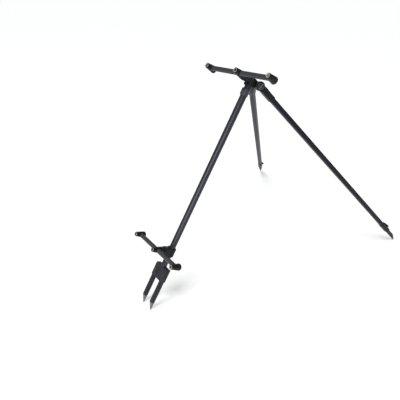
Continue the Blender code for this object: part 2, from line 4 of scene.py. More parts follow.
import bmesh
import bpy
from mathutils import Matrix, Vector


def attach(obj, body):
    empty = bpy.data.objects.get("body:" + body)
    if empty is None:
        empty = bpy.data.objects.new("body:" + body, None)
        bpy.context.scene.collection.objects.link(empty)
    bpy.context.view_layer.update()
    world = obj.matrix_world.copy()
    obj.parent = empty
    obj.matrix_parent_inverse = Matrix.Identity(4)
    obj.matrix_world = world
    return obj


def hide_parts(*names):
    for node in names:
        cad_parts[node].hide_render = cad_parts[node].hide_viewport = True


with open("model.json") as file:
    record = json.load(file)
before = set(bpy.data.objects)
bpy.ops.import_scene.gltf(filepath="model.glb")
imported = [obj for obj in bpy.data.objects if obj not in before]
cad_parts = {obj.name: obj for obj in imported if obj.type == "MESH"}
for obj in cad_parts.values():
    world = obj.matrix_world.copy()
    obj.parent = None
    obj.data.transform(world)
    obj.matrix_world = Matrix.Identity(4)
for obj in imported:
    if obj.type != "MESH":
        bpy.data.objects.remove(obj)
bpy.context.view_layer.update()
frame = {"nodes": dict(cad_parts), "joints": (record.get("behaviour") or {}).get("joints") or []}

# Sizes of the tripod in metres and radians, named as its maker would name them
GAP = 0.0003
UPPER_BAR_TURN = math.radians(-4.7)
LOWER_BAR_TURN = math.radians(-0.3)

HUB_HALF_WIDTH = 0.0125
HUB_FRONT = 0.0120
HUB_BACK = 0.0145
HUB_ABOVE = 0.0120
HUB_BELOW = 0.0170
HUB_EDGE = 0.0022
HUB_PANEL_DEPTH = 0.0005
HUB_PANEL_FRONT = 0.0085
HUB_PANEL_BACK = 0.0100
HUB_PANEL_ABOVE = 0.0085
HUB_PANEL_BELOW = 0.0130
NECK_BOTTOM = 0.0267
NECK_RADIUS = 0.0107
ARM_RADIUS = 0.01125
ARM_EDGE = 0.0006
HUB_ARM_LENGTH = 0.0319
LUG_RADIUS = 0.0115
LUG_ROOT = 0.0040

TUBE_RADIUS = 0.0110
TUBE_BORE = 0.0098
TUBE_LENGTH = 0.6577
TUBE_EDGE = 0.0003
INNER_RADIUS = 0.0095
INNER_BORE = 0.0083
INNER_TOP = 0.0070
INNER_BOTTOM = 0.3470
COLLAR_WALL = 0.0014
COLLAR_LENGTH = 0.0218
COLLAR_EDGE = 0.0004
COLLAR_BOSS_REACH = 0.0148
COLLAR_BOSS_WIDTH = 0.0130
COLLAR_BOSS_EDGE = 0.0006
COLLAR_BOSS_INSET = 0.0002
COLLAR_SCREW_RADIUS = 0.0028
COLLAR_SCREW_SUNK = 0.0008
COLLAR_SCREW_EDGE = 0.0003
COLLAR_SCREW_SOCKET = 0.0014

FORK_WIDTH = 0.0610
FORK_DEPTH = 0.0195
FORK_HEIGHT = 0.0500
FORK_EDGE = 0.0012
FORK_PANEL_DEPTH = 0.0005
FORK_PANEL_HALF_WIDTH = 0.0120
FORK_PANEL_INSET = 0.0100
PLUG_RADIUS = 0.0095
PLUG_LENGTH = 0.0250
PLUG_EDGE = 0.0004
PRONG_SPACING = 0.0448
PRONG_SQUARE = 0.0138
PRONG_EDGE = 0.0010
PRONG_SEAT = 0.0400
PRONG_OUT = 0.1166
PRONG_POINT = 0.0300
PRONG_TIP_SIDE = 0.0050
PRONG_TIP_BACK = 0.0035
TIP_SQUARE = 0.0025
FORK_SCREW_HEAD = 0.0032
FORK_SCREW_SHANK = 0.0017
FORK_SCREW_RISE = 0.0014
FORK_SCREW_LEVEL = 0.0250
FORK_SCREW_DOME = 0.999  # share of the head's rise at which its dome starts
CROSS_REACH = 0.0016
CROSS_HALF_WIDTH = 0.00035
CROSS_DEPTH = 0.0008

STUD_BORE = 0.0043
STUD_IN_ARM = 0.0120
STUD_IN_HEAD = 0.0070
KNOB_RADIUS = 0.0122
KNOB_LENGTH = 0.0120
KNOB_EDGE = 0.0012
KNOB_RIBS = 28
KNOB_RIB_RISE = 0.0006
KNOB_GROOVE_DEPTH = 0.0016
KNOB_GROOVE_MOUTH = 0.0007
KNOB_GROOVE_FLOOR = 0.0002
KNOB_BAND_START = 0.0009
KNOB_BAND_SHORT = 0.0010
BAR_RADIUS = 0.00775
BAR_END = 0.0030
BAR_EDGE = 0.0004
HEAD_SPACING = {"upper": 0.1228, "lower": 0.1043}
HEAD_FRONT = 0.0220
HEAD_BACK = 0.0180
HEAD_FRONT_RADIUS = 0.0079
HEAD_BACK_RADIUS = 0.0117
HEAD_ROUND = 0.0045
HEAD_CHAMFER = 0.0006
INSERT_RADIUS = 0.00625
INSERT_BORE = 0.0044
INSERT_LENGTH = 0.0120
INSERT_PROUD = 0.0006
INSERT_EDGE = 0.0002
INSERT_MOUTH_WIDTH = 0.0007
INSERT_MOUTH_DEPTH = 0.0009
THREAD_PITCH = 0.00127
THREAD_WIRE = 0.00028
THREAD_MARGIN = 0.0012

SLIDER_RADIUS = 0.0160
SLIDER_ABOVE = 0.0116
SLIDER_BELOW = 0.0204
SLIDER_ARM_LENGTH = 0.0346
SLIDER_ARM_HALF_WIDTH = 0.0112
SLIDER_ARM_HALF_HEIGHT = 0.0106
SLIDER_EDGE = 0.0015

REAR_SPLAY = math.radians(24.1)
KNUCKLE_RADIUS = 0.0148
KNUCKLE_HALF = 0.0070
KNUCKLE_EDGE = 0.0007
NECK_EDGE = 0.0008
LUG_FACE = 0.0073
SOCKET_SQUARE = 0.0196
SOCKET_TOP = 0.0150
SOCKET_END = 0.0650
SOCKET_ROOF = 0.0055
SOCKET_EDGE = 0.0017
WEB_REACH = 0.0122
WEB_END = 0.0400
WEB_EDGE = 0.0012
WEB_SUNK = 0.0002
WEB_INSET = 0.0001
WEB_START = 0.0010
WEB_STEP = 0.00005
BOLT_BORE = 0.0043
BOLT_RADIUS = 0.0040
BOLT_IN_LUG = 0.0090
BOLT_HEAD_RADIUS = 0.0113
BOLT_HEAD_RISE = 0.0034
BOLT_HEAD_EDGE = 0.0009
BOLT_HEAD_FOOT = 0.0003
BOLT_SLOT_WIDTH = 0.0018
BOLT_SLOT_DEPTH = 0.0012
WASHER_RADIUS = 0.0090
WASHER_THICKNESS = 0.0010
WASHER_EDGE = 0.0002

LEG_SQUARE = 0.0160
LEG_EDGE = 0.0017
LEG_WALL = 0.0012
FOOT_TOP = 0.84805
FOOT_SQUARE = 0.0184
FOOT_EDGE = 0.0013
FOOT_SEAT = 0.0140
FOOT_LENGTH = 0.0490
SPIKE_SQUARE = 0.0130
SPIKE_EDGE = 0.0010
SPIKE_INSIDE = 0.3000
SPIKE_POINT = 0.0330
SPIKE_TIP_BACK = 0.0050
SPIKE_TIP_SIDE = 0.0017
THUMB_BELOW_SEAT = 0.0066
THUMB_SHANK = 0.0025
THUMB_GAP = 0.0012
THUMB_RADIUS = 0.0150
THUMB_THICKNESS = 0.0036
THUMB_EDGE = 0.0009
THUMB_RIBS = 30
THUMB_RIB_RISE = 0.0007
THUMB_LIP = 0.0034
THUMB_DISH_DEPTH = 0.0005
THUMB_DISH_SLOPE = 0.0006
THUMB_BOSS_RADIUS = 0.0038
THUMB_BOSS_FOOT = 0.0045

# How finely round shapes are faceted, and how far cutters run past what they cut
FINE_STEPS = 96
ROUND_STEPS = 64
SMALL_STEPS = 40
HEXAGON = 6
RIB_STEPS = 10
THREAD_STEPS = 28
WIRE_STEPS = 6
EDGE_STEPS = 3
DOME_STEPS = 5
HEAD_STEPS = 14
SMOOTH_ANGLE = math.radians(33.0)
MERGE_DISTANCE = 0.000001
ALIGNED = 0.99
OVERRUN = 0.0050
PANEL_OVERRUN = 0.0020

# Photograph's camera: focal length and frame in pixels, sensor in millimetres
FOCAL_PIXELS = 350.0
FRAME_PIXELS = 400.0
SENSOR_WIDTH = 36.0
FAR_CLIP = 60.0
CAMERA_FROM_HUB = Vector((0.7638, -0.8339, 0.3220))
CAMERA_AZIMUTH = math.radians(50.6)
CAMERA_PITCH = math.radians(34.8)
CAMERA_ROLL = math.radians(0.1)

# Studio: floor, the share of plain white that the camera sees in it, sky and two lamps
FLOOR_HALF = 14.0
FLOOR_WHITE = 0.40
SKY_COLOUR = (0.93, 0.96, 1.0)
SKY_STRENGTH = 0.20
OVERHEAD_STRENGTH = 3.1
OVERHEAD_ANGLE = math.radians(28.0)
OVERHEAD_PLACE = Vector((-0.28, -1.84, 4.0))
OVERHEAD_AIM = Vector((0.0, 0.0, 0.0))
STRIP_POWER = 78.0
STRIP_WIDTH = 2.9
STRIP_LENGTH = 1.8
STRIP_PLACE = Vector((1.50, -2.55, 1.42))
STRIP_AIM = Vector((0.0, -0.30, 0.36))

# Painted shade inside an insert's bore: a lighter colour where the bore is painted as lit, a
# darker one where it is painted as shaded
PAINTED_LIT_BORE = (0.40, 0.37, 0.29)
PAINTED_SHADED_BORE = (0.16, 0.14, 0.10)

# Lathe rings on the brass, in radians for each metre of radius
LATHE_RINGS = 38000.0

# Metres over which finishes blend
WORN_EDGE = 0.0006
GROUND_EDGE = 0.0008
MOUTH_SHADE = (0.0001, 0.0007)
BORE_SHADE = (0.0061, 0.0058)

# Cool cast of the black finishes' reflections
COOL = (0.82, 0.84, 1.0, 1.0)

ALONG_X = Matrix.Rotation(math.radians(90.0), 4, "Y")
ALONG_Y = Matrix.Rotation(math.radians(-90.0), 4, "X")
JOINTS = {joint["name"]: joint for joint in frame["joints"]}


def new_object(name, data):
    """Object that stands in the scene."""
    item = bpy.data.objects.new(name, data)
    bpy.context.scene.collection.objects.link(item)
    return item


def frame_from(place, across, up):
    """Matrix of a frame whose X and Z axes are given."""
    across = Vector(across).normalized()
    up = Vector(up).normalized()
    matrix = Matrix((across, up.cross(across), up)).transposed().to_4x4()
    matrix.translation = Vector(place)
    return matrix


def bar_frame(level, turn):
    swivel = JOINTS[f"{level}_bar_swivel"]
    matrix = LEG.copy()
    matrix.translation = Vector(swivel["pos_m"])
    return matrix @ Matrix.Rotation(turn, 4, "Y")


def rear_frame(name):
    fold = JOINTS[f"{name}_leg_fold"]
    slide = JOINTS[f"{name}_spike_slide"]
    return frame_from(fold["pos_m"], -Vector(fold["axis"]), -Vector(slide["axis"]))


LEG_SLIDE = JOINTS["front_leg_slide"]
LEG = frame_from(LEG_SLIDE["pos_m"], (1.0, 0.0, 0.0), -Vector(LEG_SLIDE["axis"]))
UPPER_BAR = bar_frame("upper", UPPER_BAR_TURN)
LOWER_BAR = bar_frame("lower", LOWER_BAR_TURN)
SLIDER = LEG.copy()
SLIDER.translation = Vector(JOINTS["slider_slide"]["pos_m"])
REAR = {name: rear_frame(name) for name in ("left", "right")}

TUBE_TOP = NECK_BOTTOM + GAP
FORK_TOP = TUBE_TOP + TUBE_LENGTH + GAP
FORK_BOTTOM = FORK_TOP + FORK_HEIGHT
FOOT_BOTTOM = FOOT_TOP + FOOT_LENGTH
THUMB_LEVEL = FOOT_TOP + FOOT_SEAT + THUMB_BELOW_SEAT


class Number:
    """A shader value that takes part in Python arithmetic by adding Math nodes."""

    def __init__(self, finish, socket):
        self.finish = finish
        self.socket = socket

    def maths(self, operation, *values):
        node = self.finish.node("ShaderNodeMath", {"operation": operation})
        for index, value in enumerate(values):
            self.finish.feed(node.inputs[index], value)
        return Number(self.finish, node.outputs["Value"])

    def __add__(self, other):
        return self.maths("ADD", self, other)

    def __radd__(self, other):
        return self.maths("ADD", other, self)

    def __sub__(self, other):
        return self.maths("SUBTRACT", self, other)

    def __rsub__(self, other):
        return self.maths("SUBTRACT", other, self)

    def __mul__(self, other):
        return self.maths("MULTIPLY", self, other)

    def __rmul__(self, other):
        return self.maths("MULTIPLY", other, self)

    def __pow__(self, other):
        return self.maths("POWER", self, other)

    def sine(self):
        return self.maths("SINE", self)

    def larger(self, other):
        return self.maths("MAXIMUM", self, other)

    def fade(self, low, high):
        """0 below low, 1 above high and smooth between, or the reverse if low is the larger."""
        settings = {"interpolation_type": "SMOOTHSTEP"}
        inputs = {"Value": self, "From Min": low, "From Max": high}
        node = self.finish.node("ShaderNodeMapRange", settings, inputs)
        return Number(self.finish, node.outputs["Result"])


class Finish:
    """A procedural material read in the frame of the piece that wears it."""

    def __init__(self, name, place):
        self.material = bpy.data.materials.new(name)
        self.material.use_nodes = True
        self.tree = self.material.node_tree
        self.shader = self.tree.nodes["Principled BSDF"]
        coordinates = self.node("ShaderNodeTexCoord").outputs["Object"]
        spot = {"Location": place.translation, "Rotation": place.to_euler()}
        turned = self.node(
            "ShaderNodeMapping", {"vector_type": "TEXTURE"}, {"Vector": coordinates, **spot}
        )
        self.place = turned.outputs["Vector"]
        split = self.node("ShaderNodeSeparateXYZ", None, {"Vector": self.place})
        self.x, self.y, self.z = (Number(self, socket) for socket in split.outputs)

    def node(self, kind, settings=None, inputs=None):
        """Add a node: its settings are made first, then its sockets are set or linked."""
        node = self.tree.nodes.new(kind)
        for name, value in (settings or {}).items():
            setattr(node, name, value)
        for name, value in (inputs or {}).items():
            self.feed(node.inputs[name], value)
        return node

    def feed(self, socket, value):
        if isinstance(value, Number):
            self.tree.links.new(value.socket, socket)
        elif isinstance(value, bpy.types.NodeSocket):
            self.tree.links.new(value, socket)
        else:
            socket.default_value = value

    def noise(self, scale, stretch=(1.0, 1.0, 1.0), detail=2.0, roughness=0.5):
        """Fractal noise about 0.5; a stretch below 1 draws it out along that axis."""
        scaled = self.node(
            "ShaderNodeVectorMath",
            {"operation": "MULTIPLY"},
            {0: self.place, 1: stretch},
        )
        inputs = {"Scale": scale, "Detail": detail, "Roughness": roughness}
        inputs["Vector"] = scaled.outputs["Vector"]
        node = self.node("ShaderNodeTexNoise", None, inputs)
        return Number(self, node.outputs["Fac"])

    def mix(self, factor, first, second):
        """Blend two colours."""
        node = self.node("ShaderNodeMix", {"data_type": "RGBA"})
        self.feed(node.inputs[0], factor)
        for socket, value in ((node.inputs[6], first), (node.inputs[7], second)):
            self.feed(socket, value if not isinstance(value, tuple) else (*value, 1.0))
        return node.outputs[2]

    def bump(self, height, strength, distance):
        inputs = {"Height": height, "Strength": strength, "Distance": distance}
        node = self.node("ShaderNodeBump", None, inputs)
        self.feed(self.shader.inputs["Normal"], node.outputs["Normal"])

    def wear(self, colour, roughness):
        self.feed(self.shader.inputs["Base Color"], colour)
        self.feed(self.shader.inputs["Roughness"], roughness)

    def fix(self, **values):
        """Values that are the same all over the surface."""
        for name, value in values.items():
            self.shader.inputs[name.replace("_", " ")].default_value = value


def moulded_black(name, place, tone=0.008, gloss=0.48, shine=0.14, worn=None):
    """Fine grained black moulding with faint mottling and rubbed patches.

    worn is the level, along the piece, below which the moulding has turned greyer.
    """
    finish = Finish(name, place)
    mottle = finish.noise(38.0, detail=4.0)
    grain = finish.noise(2600.0, detail=1.0)
    rubbed = finish.noise(120.0, (1.0, 1.0, 0.35), 3.0).fade(0.58, 0.74)
    dark = (tone * 0.72, tone * 0.72, tone * 0.86)
    light = (tone * 1.33, tone * 1.33, tone * 1.56)
    colour = finish.mix(mottle.fade(0.3, 0.7), dark, light)
    colour = finish.mix(rubbed * 0.35, colour, (tone * 2.4, tone * 2.4, tone * 2.45))
    if worn is not None:
        below = finish.z.fade(worn + WORN_EDGE, worn - WORN_EDGE)
        colour = finish.mix(below * 0.4, colour, (tone * 4.6, tone * 4.8, tone * 5.1))
    finish.wear(colour, gloss + (mottle - 0.5) * 0.16 - rubbed * 0.10)
    finish.bump(grain, 0.22, 0.00012)
    finish.fix(Metallic=0.0, Specular_IOR_Level=shine, Specular_Tint=COOL)
    return finish.material


def drawn_coating(name, place, tone, gloss, shine=0.26, rings=0.0, ground=None, blue=1.0):
    """Dark coated drawn metal: lines along the piece, soft clouds and fine scuffs.

    rings adds faint rub marks round the piece; ground is the level, along the piece, below
    which the metal is ground bare and lighter; blue deepens the coating's blue cast.
    """
    finish = Finish(name, place)
    lines = finish.noise(900.0, (1.0, 1.0, 0.012), 3.0)
    cloud = finish.noise(14.0, (1.0, 1.0, 0.30), 3.0)
    scuff = finish.noise(210.0, (1.0, 1.0, 0.06), 4.0, 0.65).fade(0.62, 0.78)
    speck = finish.noise(1500.0, detail=1.0).fade(0.66, 0.80)
    dark = (tone * 0.77, tone * 0.78, tone * 0.92 * blue)
    light = (tone * 1.18, tone * 1.20, tone * 1.40 * blue)
    colour = finish.mix(cloud.fade(0.3, 0.7) * 0.6 + lines.fade(0.3, 0.7) * 0.4, dark, light)
    colour = finish.mix(scuff * 0.22 + speck * 0.06, colour, (tone * 2.4, tone * 2.4, tone * 2.5))
    rough = gloss + (lines - 0.5) * 0.10 + (cloud - 0.5) * 0.08 + scuff * 0.04
    height = lines * 0.9 + speck * 0.1
    if rings > 0.0:
        marks = finish.noise(700.0, (0.03, 0.03, 1.0), 2.0).fade(0.60, 0.78)
        colour = finish.mix(marks * rings, colour, (tone * 2.0, tone * 2.0, tone * 2.1))
        rough = rough - marks * (0.2 * rings)
    if ground is not None:
        paler_mask = finish.z.fade(ground + GROUND_EDGE, ground - GROUND_EDGE)
        strokes = finish.noise(650.0, (1.0, 0.08, 1.0), 3.0)
        dark = (0.085, 0.090, 0.093)
        light = (0.150, 0.157, 0.160)
        steel = finish.mix(strokes.fade(0.3, 0.7), dark, light)
        colour = finish.mix(paler_mask, colour, steel)
        rough = rough + paler_mask * ((strokes - 0.5) * 0.2 - 0.04)
        height = height + paler_mask * strokes
    finish.wear(colour, rough)
    finish.bump(height, 0.10, 0.00002)
    finish.fix(Metallic=0.05, Specular_IOR_Level=shine, Specular_Tint=COOL)
    return finish.material


def satin_aluminium(name, place, tone):
    """Satin grey bar: lines along X, soft clouds and handling marks."""
    finish = Finish(name, place)
    lines = finish.noise(1100.0, (0.010, 1.0, 1.0), 3.0)
    cloud = finish.noise(30.0, (0.25, 1.0, 1.0), 3.0)
    rub = finish.noise(260.0, (0.10, 1.0, 1.0), 4.0, 0.6).fade(0.60, 0.80)
    dark = (tone * 0.84, tone * 0.84, tone * 0.87)
    light = (tone * 1.14, tone * 1.15, tone * 1.20)
    colour = finish.mix(lines.fade(0.3, 0.7) * 0.5 + cloud.fade(0.3, 0.7) * 0.5, dark, light)
    colour = finish.mix(rub * 0.35, colour, (tone * 1.7, tone * 1.7, tone * 1.78))
    finish.wear(colour, 0.40 + (lines - 0.5) * 0.16 - rub * 0.08)
    finish.bump(lines, 0.15, 0.00006)
    finish.fix(Metallic=0.15, Specular_IOR_Level=0.25, Specular_Tint=COOL)
    return finish.material


def turned_brass(name, place, rim, painted_bore_shade):
    """Pale turned brass with fine lathe rings, its axis along Y.

    rim is the level of its front face; the last argument is the colour painted inside the bore
    behind it, which stands for the shade there.
    """
    finish = Finish(name, place)
    radius = (finish.x * finish.x + finish.z * finish.z) ** 0.5
    rings = (radius * LATHE_RINGS).sine() * 0.5 + 0.5
    dull = finish.noise(420.0, detail=4.0).fade(0.45, 0.72)
    # Painted shade: past the mouth, the bore's wall is darkened towards the painted bore colour
    behind = finish.y.fade(*(rim + part for part in MOUTH_SHADE))
    inside = behind * radius.fade(*BORE_SHADE)
    colour = finish.mix(rings * 0.5, (0.52, 0.49, 0.41), (0.68, 0.65, 0.56))
    colour = finish.mix(dull * 0.55, colour, (0.22, 0.19, 0.14))
    colour = finish.mix(inside, colour, painted_bore_shade)
    finish.wear(colour, 0.34 + dull * 0.20 + rings * 0.05)
    finish.bump(rings, 0.12, 0.00003)
    finish.fix(Metallic=0.7)
    return finish.material


def machined_steel(name, place, tone, tint=(1.0, 1.0, 1.0), metal=0.9, slot=None):
    """Machined steel with cloudy oxide and fine marks.

    slot is the half width of a screwdriver slot that runs along Y; the slot is drawn in a paler
    colour than the head.
    """
    finish = Finish(name, place)
    cloud = finish.noise(160.0, detail=4.0)
    fine = finish.noise(1800.0, (1.0, 0.2, 1.0), 2.0)
    dark = tuple(tone * 0.7 * part for part in tint)
    light = tuple(tone * 1.3 * part for part in tint)
    colour = finish.mix(cloud.fade(0.3, 0.7), dark, light)
    if slot is not None:
        # The slot's floor and walls, and a thin band beside it, are drawn in a paler steel colour
        paler_mask = (finish.x * finish.x).fade((slot * 1.3) ** 2, (slot * 0.9) ** 2)
        paler_mask = paler_mask * (0.75 + (fine - 0.5) * 0.5)
        colour = finish.mix(paler_mask, colour, tuple(0.42 * part for part in tint))
    finish.wear(colour, 0.32 + (cloud - 0.5) * 0.2 + (fine - 0.5) * 0.12)
    finish.bump(fine, 0.15, 0.00005)
    finish.fix(Metallic=metal)
    return finish.material


def turned(profile, steps=ROUND_STEPS, hollow=False):
    """Revolve (radius, height) points about Z; a hollow profile is a closed loop."""
    bm = bmesh.new()
    points = [bm.verts.new((radius, 0.0, height)) for radius, height in profile]
    edges = [bm.edges.new(pair) for pair in zip(points, points[1:])]
    if hollow:
        edges.append(bm.edges.new((points[-1], points[0])))
    bmesh.ops.spin(
        bm,
        geom=points + edges,
        cent=(0.0, 0.0, 0.0),
        axis=(0.0, 0.0, 1.0),
        angle=math.tau,
        steps=steps,
        use_merge=True,
    )
    bmesh.ops.remove_doubles(bm, verts=bm.verts, dist=MERGE_DISTANCE)
    return bm


def rod(radius, low, high, steps=ROUND_STEPS, edge=0.0):
    """Solid round rod between two heights, with chamfered ends if edge is given."""
    profile = [(0.0, low), (radius - edge, low)]
    if edge > 0.0:
        profile += [(radius, low + edge), (radius, high - edge)]
    profile += [(radius - edge, high), (0.0, high)]
    return turned(profile, steps)


def drill(radius, low, high, steps=ROUND_STEPS):
    """Rod that cuts a hole, turned half a facet so that its edges miss a coaxial rod's."""
    bm = rod(radius, low, high, steps)
    turn = Matrix.Rotation(math.pi / steps, 4, "Z")
    bmesh.ops.transform(bm, matrix=turn, verts=bm.verts)
    return bm


def ring(outer, bore, low, high, steps=ROUND_STEPS, edge=0.0):
    """Round tube between two heights, chamfered inside and out if edge is given."""
    if edge == 0.0:
        profile = [(bore, low), (outer, low), (outer, high), (bore, high)]
    else:
        profile = [
            (bore, low + edge),
            (bore + edge, low),
            (outer - edge, low),
            (outer, low + edge),
            (outer, high - edge),
            (outer - edge, high),
            (bore + edge, high),
            (bore, high - edge),
        ]
    return turned(profile, steps, hollow=True)


def block(low, high, edge=0.0, along=None):
    """Box between two corners; along names the axis whose four edges alone are rounded."""
    low = Vector(low)
    high = Vector(high)
    bm = bmesh.new()
    bmesh.ops.create_cube(bm, size=1.0)
    bmesh.ops.scale(bm, vec=high - low, verts=bm.verts)
    bmesh.ops.translate(bm, vec=(high + low) / 2.0, verts=bm.verts)
    if edge > 0.0:
        chosen = list(bm.edges)
        if along is not None:
            chosen = [line for line in chosen if runs_along(line, along)]
        bmesh.ops.bevel(
            bm, geom=chosen, offset=edge, segments=EDGE_STEPS, profile=0.5, affect="EDGES"
        )
    return bm


def runs_along(line, axis):
    direction = (line.verts[1].co - line.verts[0].co).normalized()
    return abs(direction[axis]) > ALIGNED


def panel_span(side, floor):
    """Limits of a cutter that sinks a panel: from its floor out through the side's face."""
    return sorted((side * floor, side * (floor + PANEL_OVERRUN)))


def square_bar(square, edge, low, high):
    half = square / 2.0
    return block((-half, -half, low), (half, half, high), edge, along=2)


def pointed_bar(square, edge, top, bottom, point, side, back):
    """Square bar whose lower end narrows to a small blunt tip set off the axis."""
    bm = square_bar(square, edge, -bottom + point, -top)
    lower = [face for face in bm.faces if face.normal.z < -ALIGNED]
    grown = bmesh.ops.extrude_face_region(bm, geom=lower)
    bmesh.ops.delete(bm, geom=lower, context="FACES")
    share = TIP_SQUARE / square
    for vert in grown["geom"]:
        if isinstance(vert, bmesh.types.BMVert):
            vert.co.x = vert.co.x * share + side
            vert.co.y = vert.co.y * share + back
            vert.co.z = -bottom
    return bm


class Solid:
    """A piece while it is being shaped in its own frame."""

    def __init__(self, bm, matrix=None):
        self.extra = []
        self.item = self.add(bm, matrix)

    def add(self, bm, matrix):
        if matrix is not None:
            bmesh.ops.transform(bm, matrix=matrix, verts=bm.verts)
        bmesh.ops.recalc_face_normals(bm, faces=bm.faces)
        mesh = bpy.data.meshes.new("shaping")
        bm.to_mesh(mesh)
        bm.free()
        return new_object("shaping", mesh)

    def combine(self, bm, matrix, operation):
        tool = self.add(bm, matrix)
        self.extra.append(tool)
        modifier = self.item.modifiers.new(operation, "BOOLEAN")
        modifier.operation = operation
        modifier.solver = "EXACT"
        modifier.object = tool

    def join(self, bm, matrix=None):
        self.combine(bm, matrix, "UNION")

    def cut(self, bm, matrix=None):
        self.combine(bm, matrix, "DIFFERENCE")

    def grow(self, tree, **values):
        """Add what a geometry node tree repeats."""
        modifier = self.item.modifiers.new("repeat", "NODES")
        modifier.node_group = tree
        for socket in tree.interface.items_tree:
            if socket.in_out == "INPUT" and socket.name in values:
                modifier[socket.identifier] = values[socket.name]

    def settle(self, name, place, body, material, node):
        """Apply what shapes the piece, put its place in its mesh and hand it to its body."""
        depsgraph = bpy.context.evaluated_depsgraph_get()
        mesh = bpy.data.meshes.new_from_object(self.item.evaluated_get(depsgraph))
        mesh.transform(place)
        mesh.materials.clear()
        mesh.materials.append(material)
        mesh.polygons.foreach_set("material_index", [0] * len(mesh.polygons))
        mesh.shade_smooth()
        mesh.set_sharp_from_angle(angle=SMOOTH_ANGLE)
        done = new_object(name, mesh)
        for item in [self.item, *self.extra]:
            bpy.data.objects.remove(item, do_unlink=True)
        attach(done, body)
        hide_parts(node)


def new_tree(name, **kinds):
    """Geometry node tree that adds repeated shapes to the piece it is given."""
    tree = bpy.data.node_groups.new(name, "GeometryNodeTree")
    tree.interface.new_socket("Geometry", in_out="OUTPUT", socket_type="NodeSocketGeometry")
    tree.interface.new_socket("Geometry", in_out="INPUT", socket_type="NodeSocketGeometry")
    kinds.update(Length="Float", Level="Float", Finish="Material")
    for label, kind in kinds.items():
        tree.interface.new_socket(label, in_out="INPUT", socket_type=f"NodeSocket{kind}")
    source = tree.nodes.new("NodeGroupInput")
    result = tree.nodes.new("NodeGroupOutput")
    return tree, source.outputs, result.inputs["Geometry"]


def tree_node(tree, kind, links=None, **values):
    node = tree.nodes.new(kind)
    for name, value in values.items():
        node.inputs[name.replace("_", " ")].default_value = value
    for name, socket in (links or {}).items():
        tree.links.new(socket, node.inputs[name])
    return node


def close_tree(tree, source, result, repeated):
    """Raise what is repeated to its level, join it to the piece and give both the finish."""
    height = tree_node(tree, "ShaderNodeCombineXYZ", {"Z": source["Level"]})
    raised = tree_node(
        tree,
        "GeometryNodeTransform",
        {"Geometry": repeated, "Translation": height.outputs["Vector"]},
    )
    real = tree_node(
        tree, "GeometryNodeRealizeInstances", {"Geometry": raised.outputs["Geometry"]}
    )
    joined = tree_node(tree, "GeometryNodeJoinGeometry")
    tree.links.new(real.outputs["Geometry"], joined.inputs["Geometry"])
    tree.links.new(source["Geometry"], joined.inputs["Geometry"])
    dressed = tree_node(
        tree,
        "GeometryNodeSetMaterial",
        {"Geometry": joined.outputs["Geometry"], "Material": source["Finish"]},
    )
    tree.links.new(dressed.outputs["Geometry"], result)
    return tree


def grip_rib_tree():
    """Ribs that stand round a grip, parallel to its axis."""
    tree, source, result = new_tree("grip ribs", Count="Int", Circle="Float", Rib="Float")
    circle = tree_node(
        tree,
        "GeometryNodeMeshCircle",
        {"Vertices": source["Count"], "Radius": source["Circle"]},
    )
    rib = tree_node(
        tree,
        "GeometryNodeMeshCylinder",
        {"Radius": source["Rib"], "Depth": source["Length"]},
        Vertices=RIB_STEPS,
    )
    spread = tree_node(
        tree,
        "GeometryNodeInstanceOnPoints",
        {"Points": circle.outputs["Mesh"], "Instance": rib.outputs["Mesh"]},
    )
    return close_tree(tree, source, result, spread.outputs["Instances"])


def thread_tree():
    """Helical thread wound inside a bore."""
    tree, source, result = new_tree("insert thread", Turns="Float", Bore="Float", Wire="Float")
    helix = tree_node(
        tree,
        "GeometryNodeCurveSpiral",
        {
            "Rotations": source["Turns"],
            "Start Radius": source["Bore"],
            "End Radius": source["Bore"],
            "Height": source["Length"],
        },
        Resolution=THREAD_STEPS,
    )
    wire = tree_node(
        tree,
        "GeometryNodeCurvePrimitiveCircle",
        {"Radius": source["Wire"]},
        Resolution=WIRE_STEPS,
    )
    swept = tree_node(
        tree,
        "GeometryNodeCurveToMesh",
        {"Curve": helix.outputs["Curve"], "Profile Curve": wire.outputs["Curve"]},
        Fill_Caps=True,
    )
    return close_tree(tree, source, result, swept.outputs["Mesh"])


RIBS = grip_rib_tree()
THREAD = thread_tree()


def make_hub():
    low = (-HUB_HALF_WIDTH, -HUB_FRONT, -HUB_BELOW)
    high = (HUB_HALF_WIDTH, HUB_BACK, HUB_ABOVE)
    hub = Solid(block(low, high, HUB_EDGE))
    hub.join(rod(ARM_RADIUS, -HUB_ARM_LENGTH, 0.0, edge=ARM_EDGE), ALONG_Y)
    hub.join(rod(NECK_RADIUS, -NECK_BOTTOM, -HUB_BELOW / 2.0))
    hub.join(lug_wedge())
    hub.cut(drill(INNER_RADIUS + GAP, -NECK_BOTTOM - OVERRUN, GAP - INNER_TOP))
    stud_end = HUB_ARM_LENGTH - STUD_IN_ARM - GAP
    hub.cut(drill(STUD_BORE, -HUB_ARM_LENGTH - OVERRUN, -stud_end), ALONG_Y)
    for side in (-1, 1):
        near, far = panel_span(side, HUB_HALF_WIDTH - HUB_PANEL_DEPTH)
        low = (near, -HUB_PANEL_FRONT, -HUB_PANEL_BELOW)
        hub.cut(block(low, (far, HUB_PANEL_BACK, HUB_PANEL_ABOVE)))
    for name, side in (("left", -1), ("right", 1)):
        lay = LEG.inverted() @ bolt_frame(name, side)
        hole = rod(BOLT_BORE, -LUG_FACE - BOLT_IN_LUG - GAP, OVERRUN - LUG_FACE)
        hub.cut(hole, lay)
    hub.settle("hub", LEG, "hub", MOULDING, "hub_body")


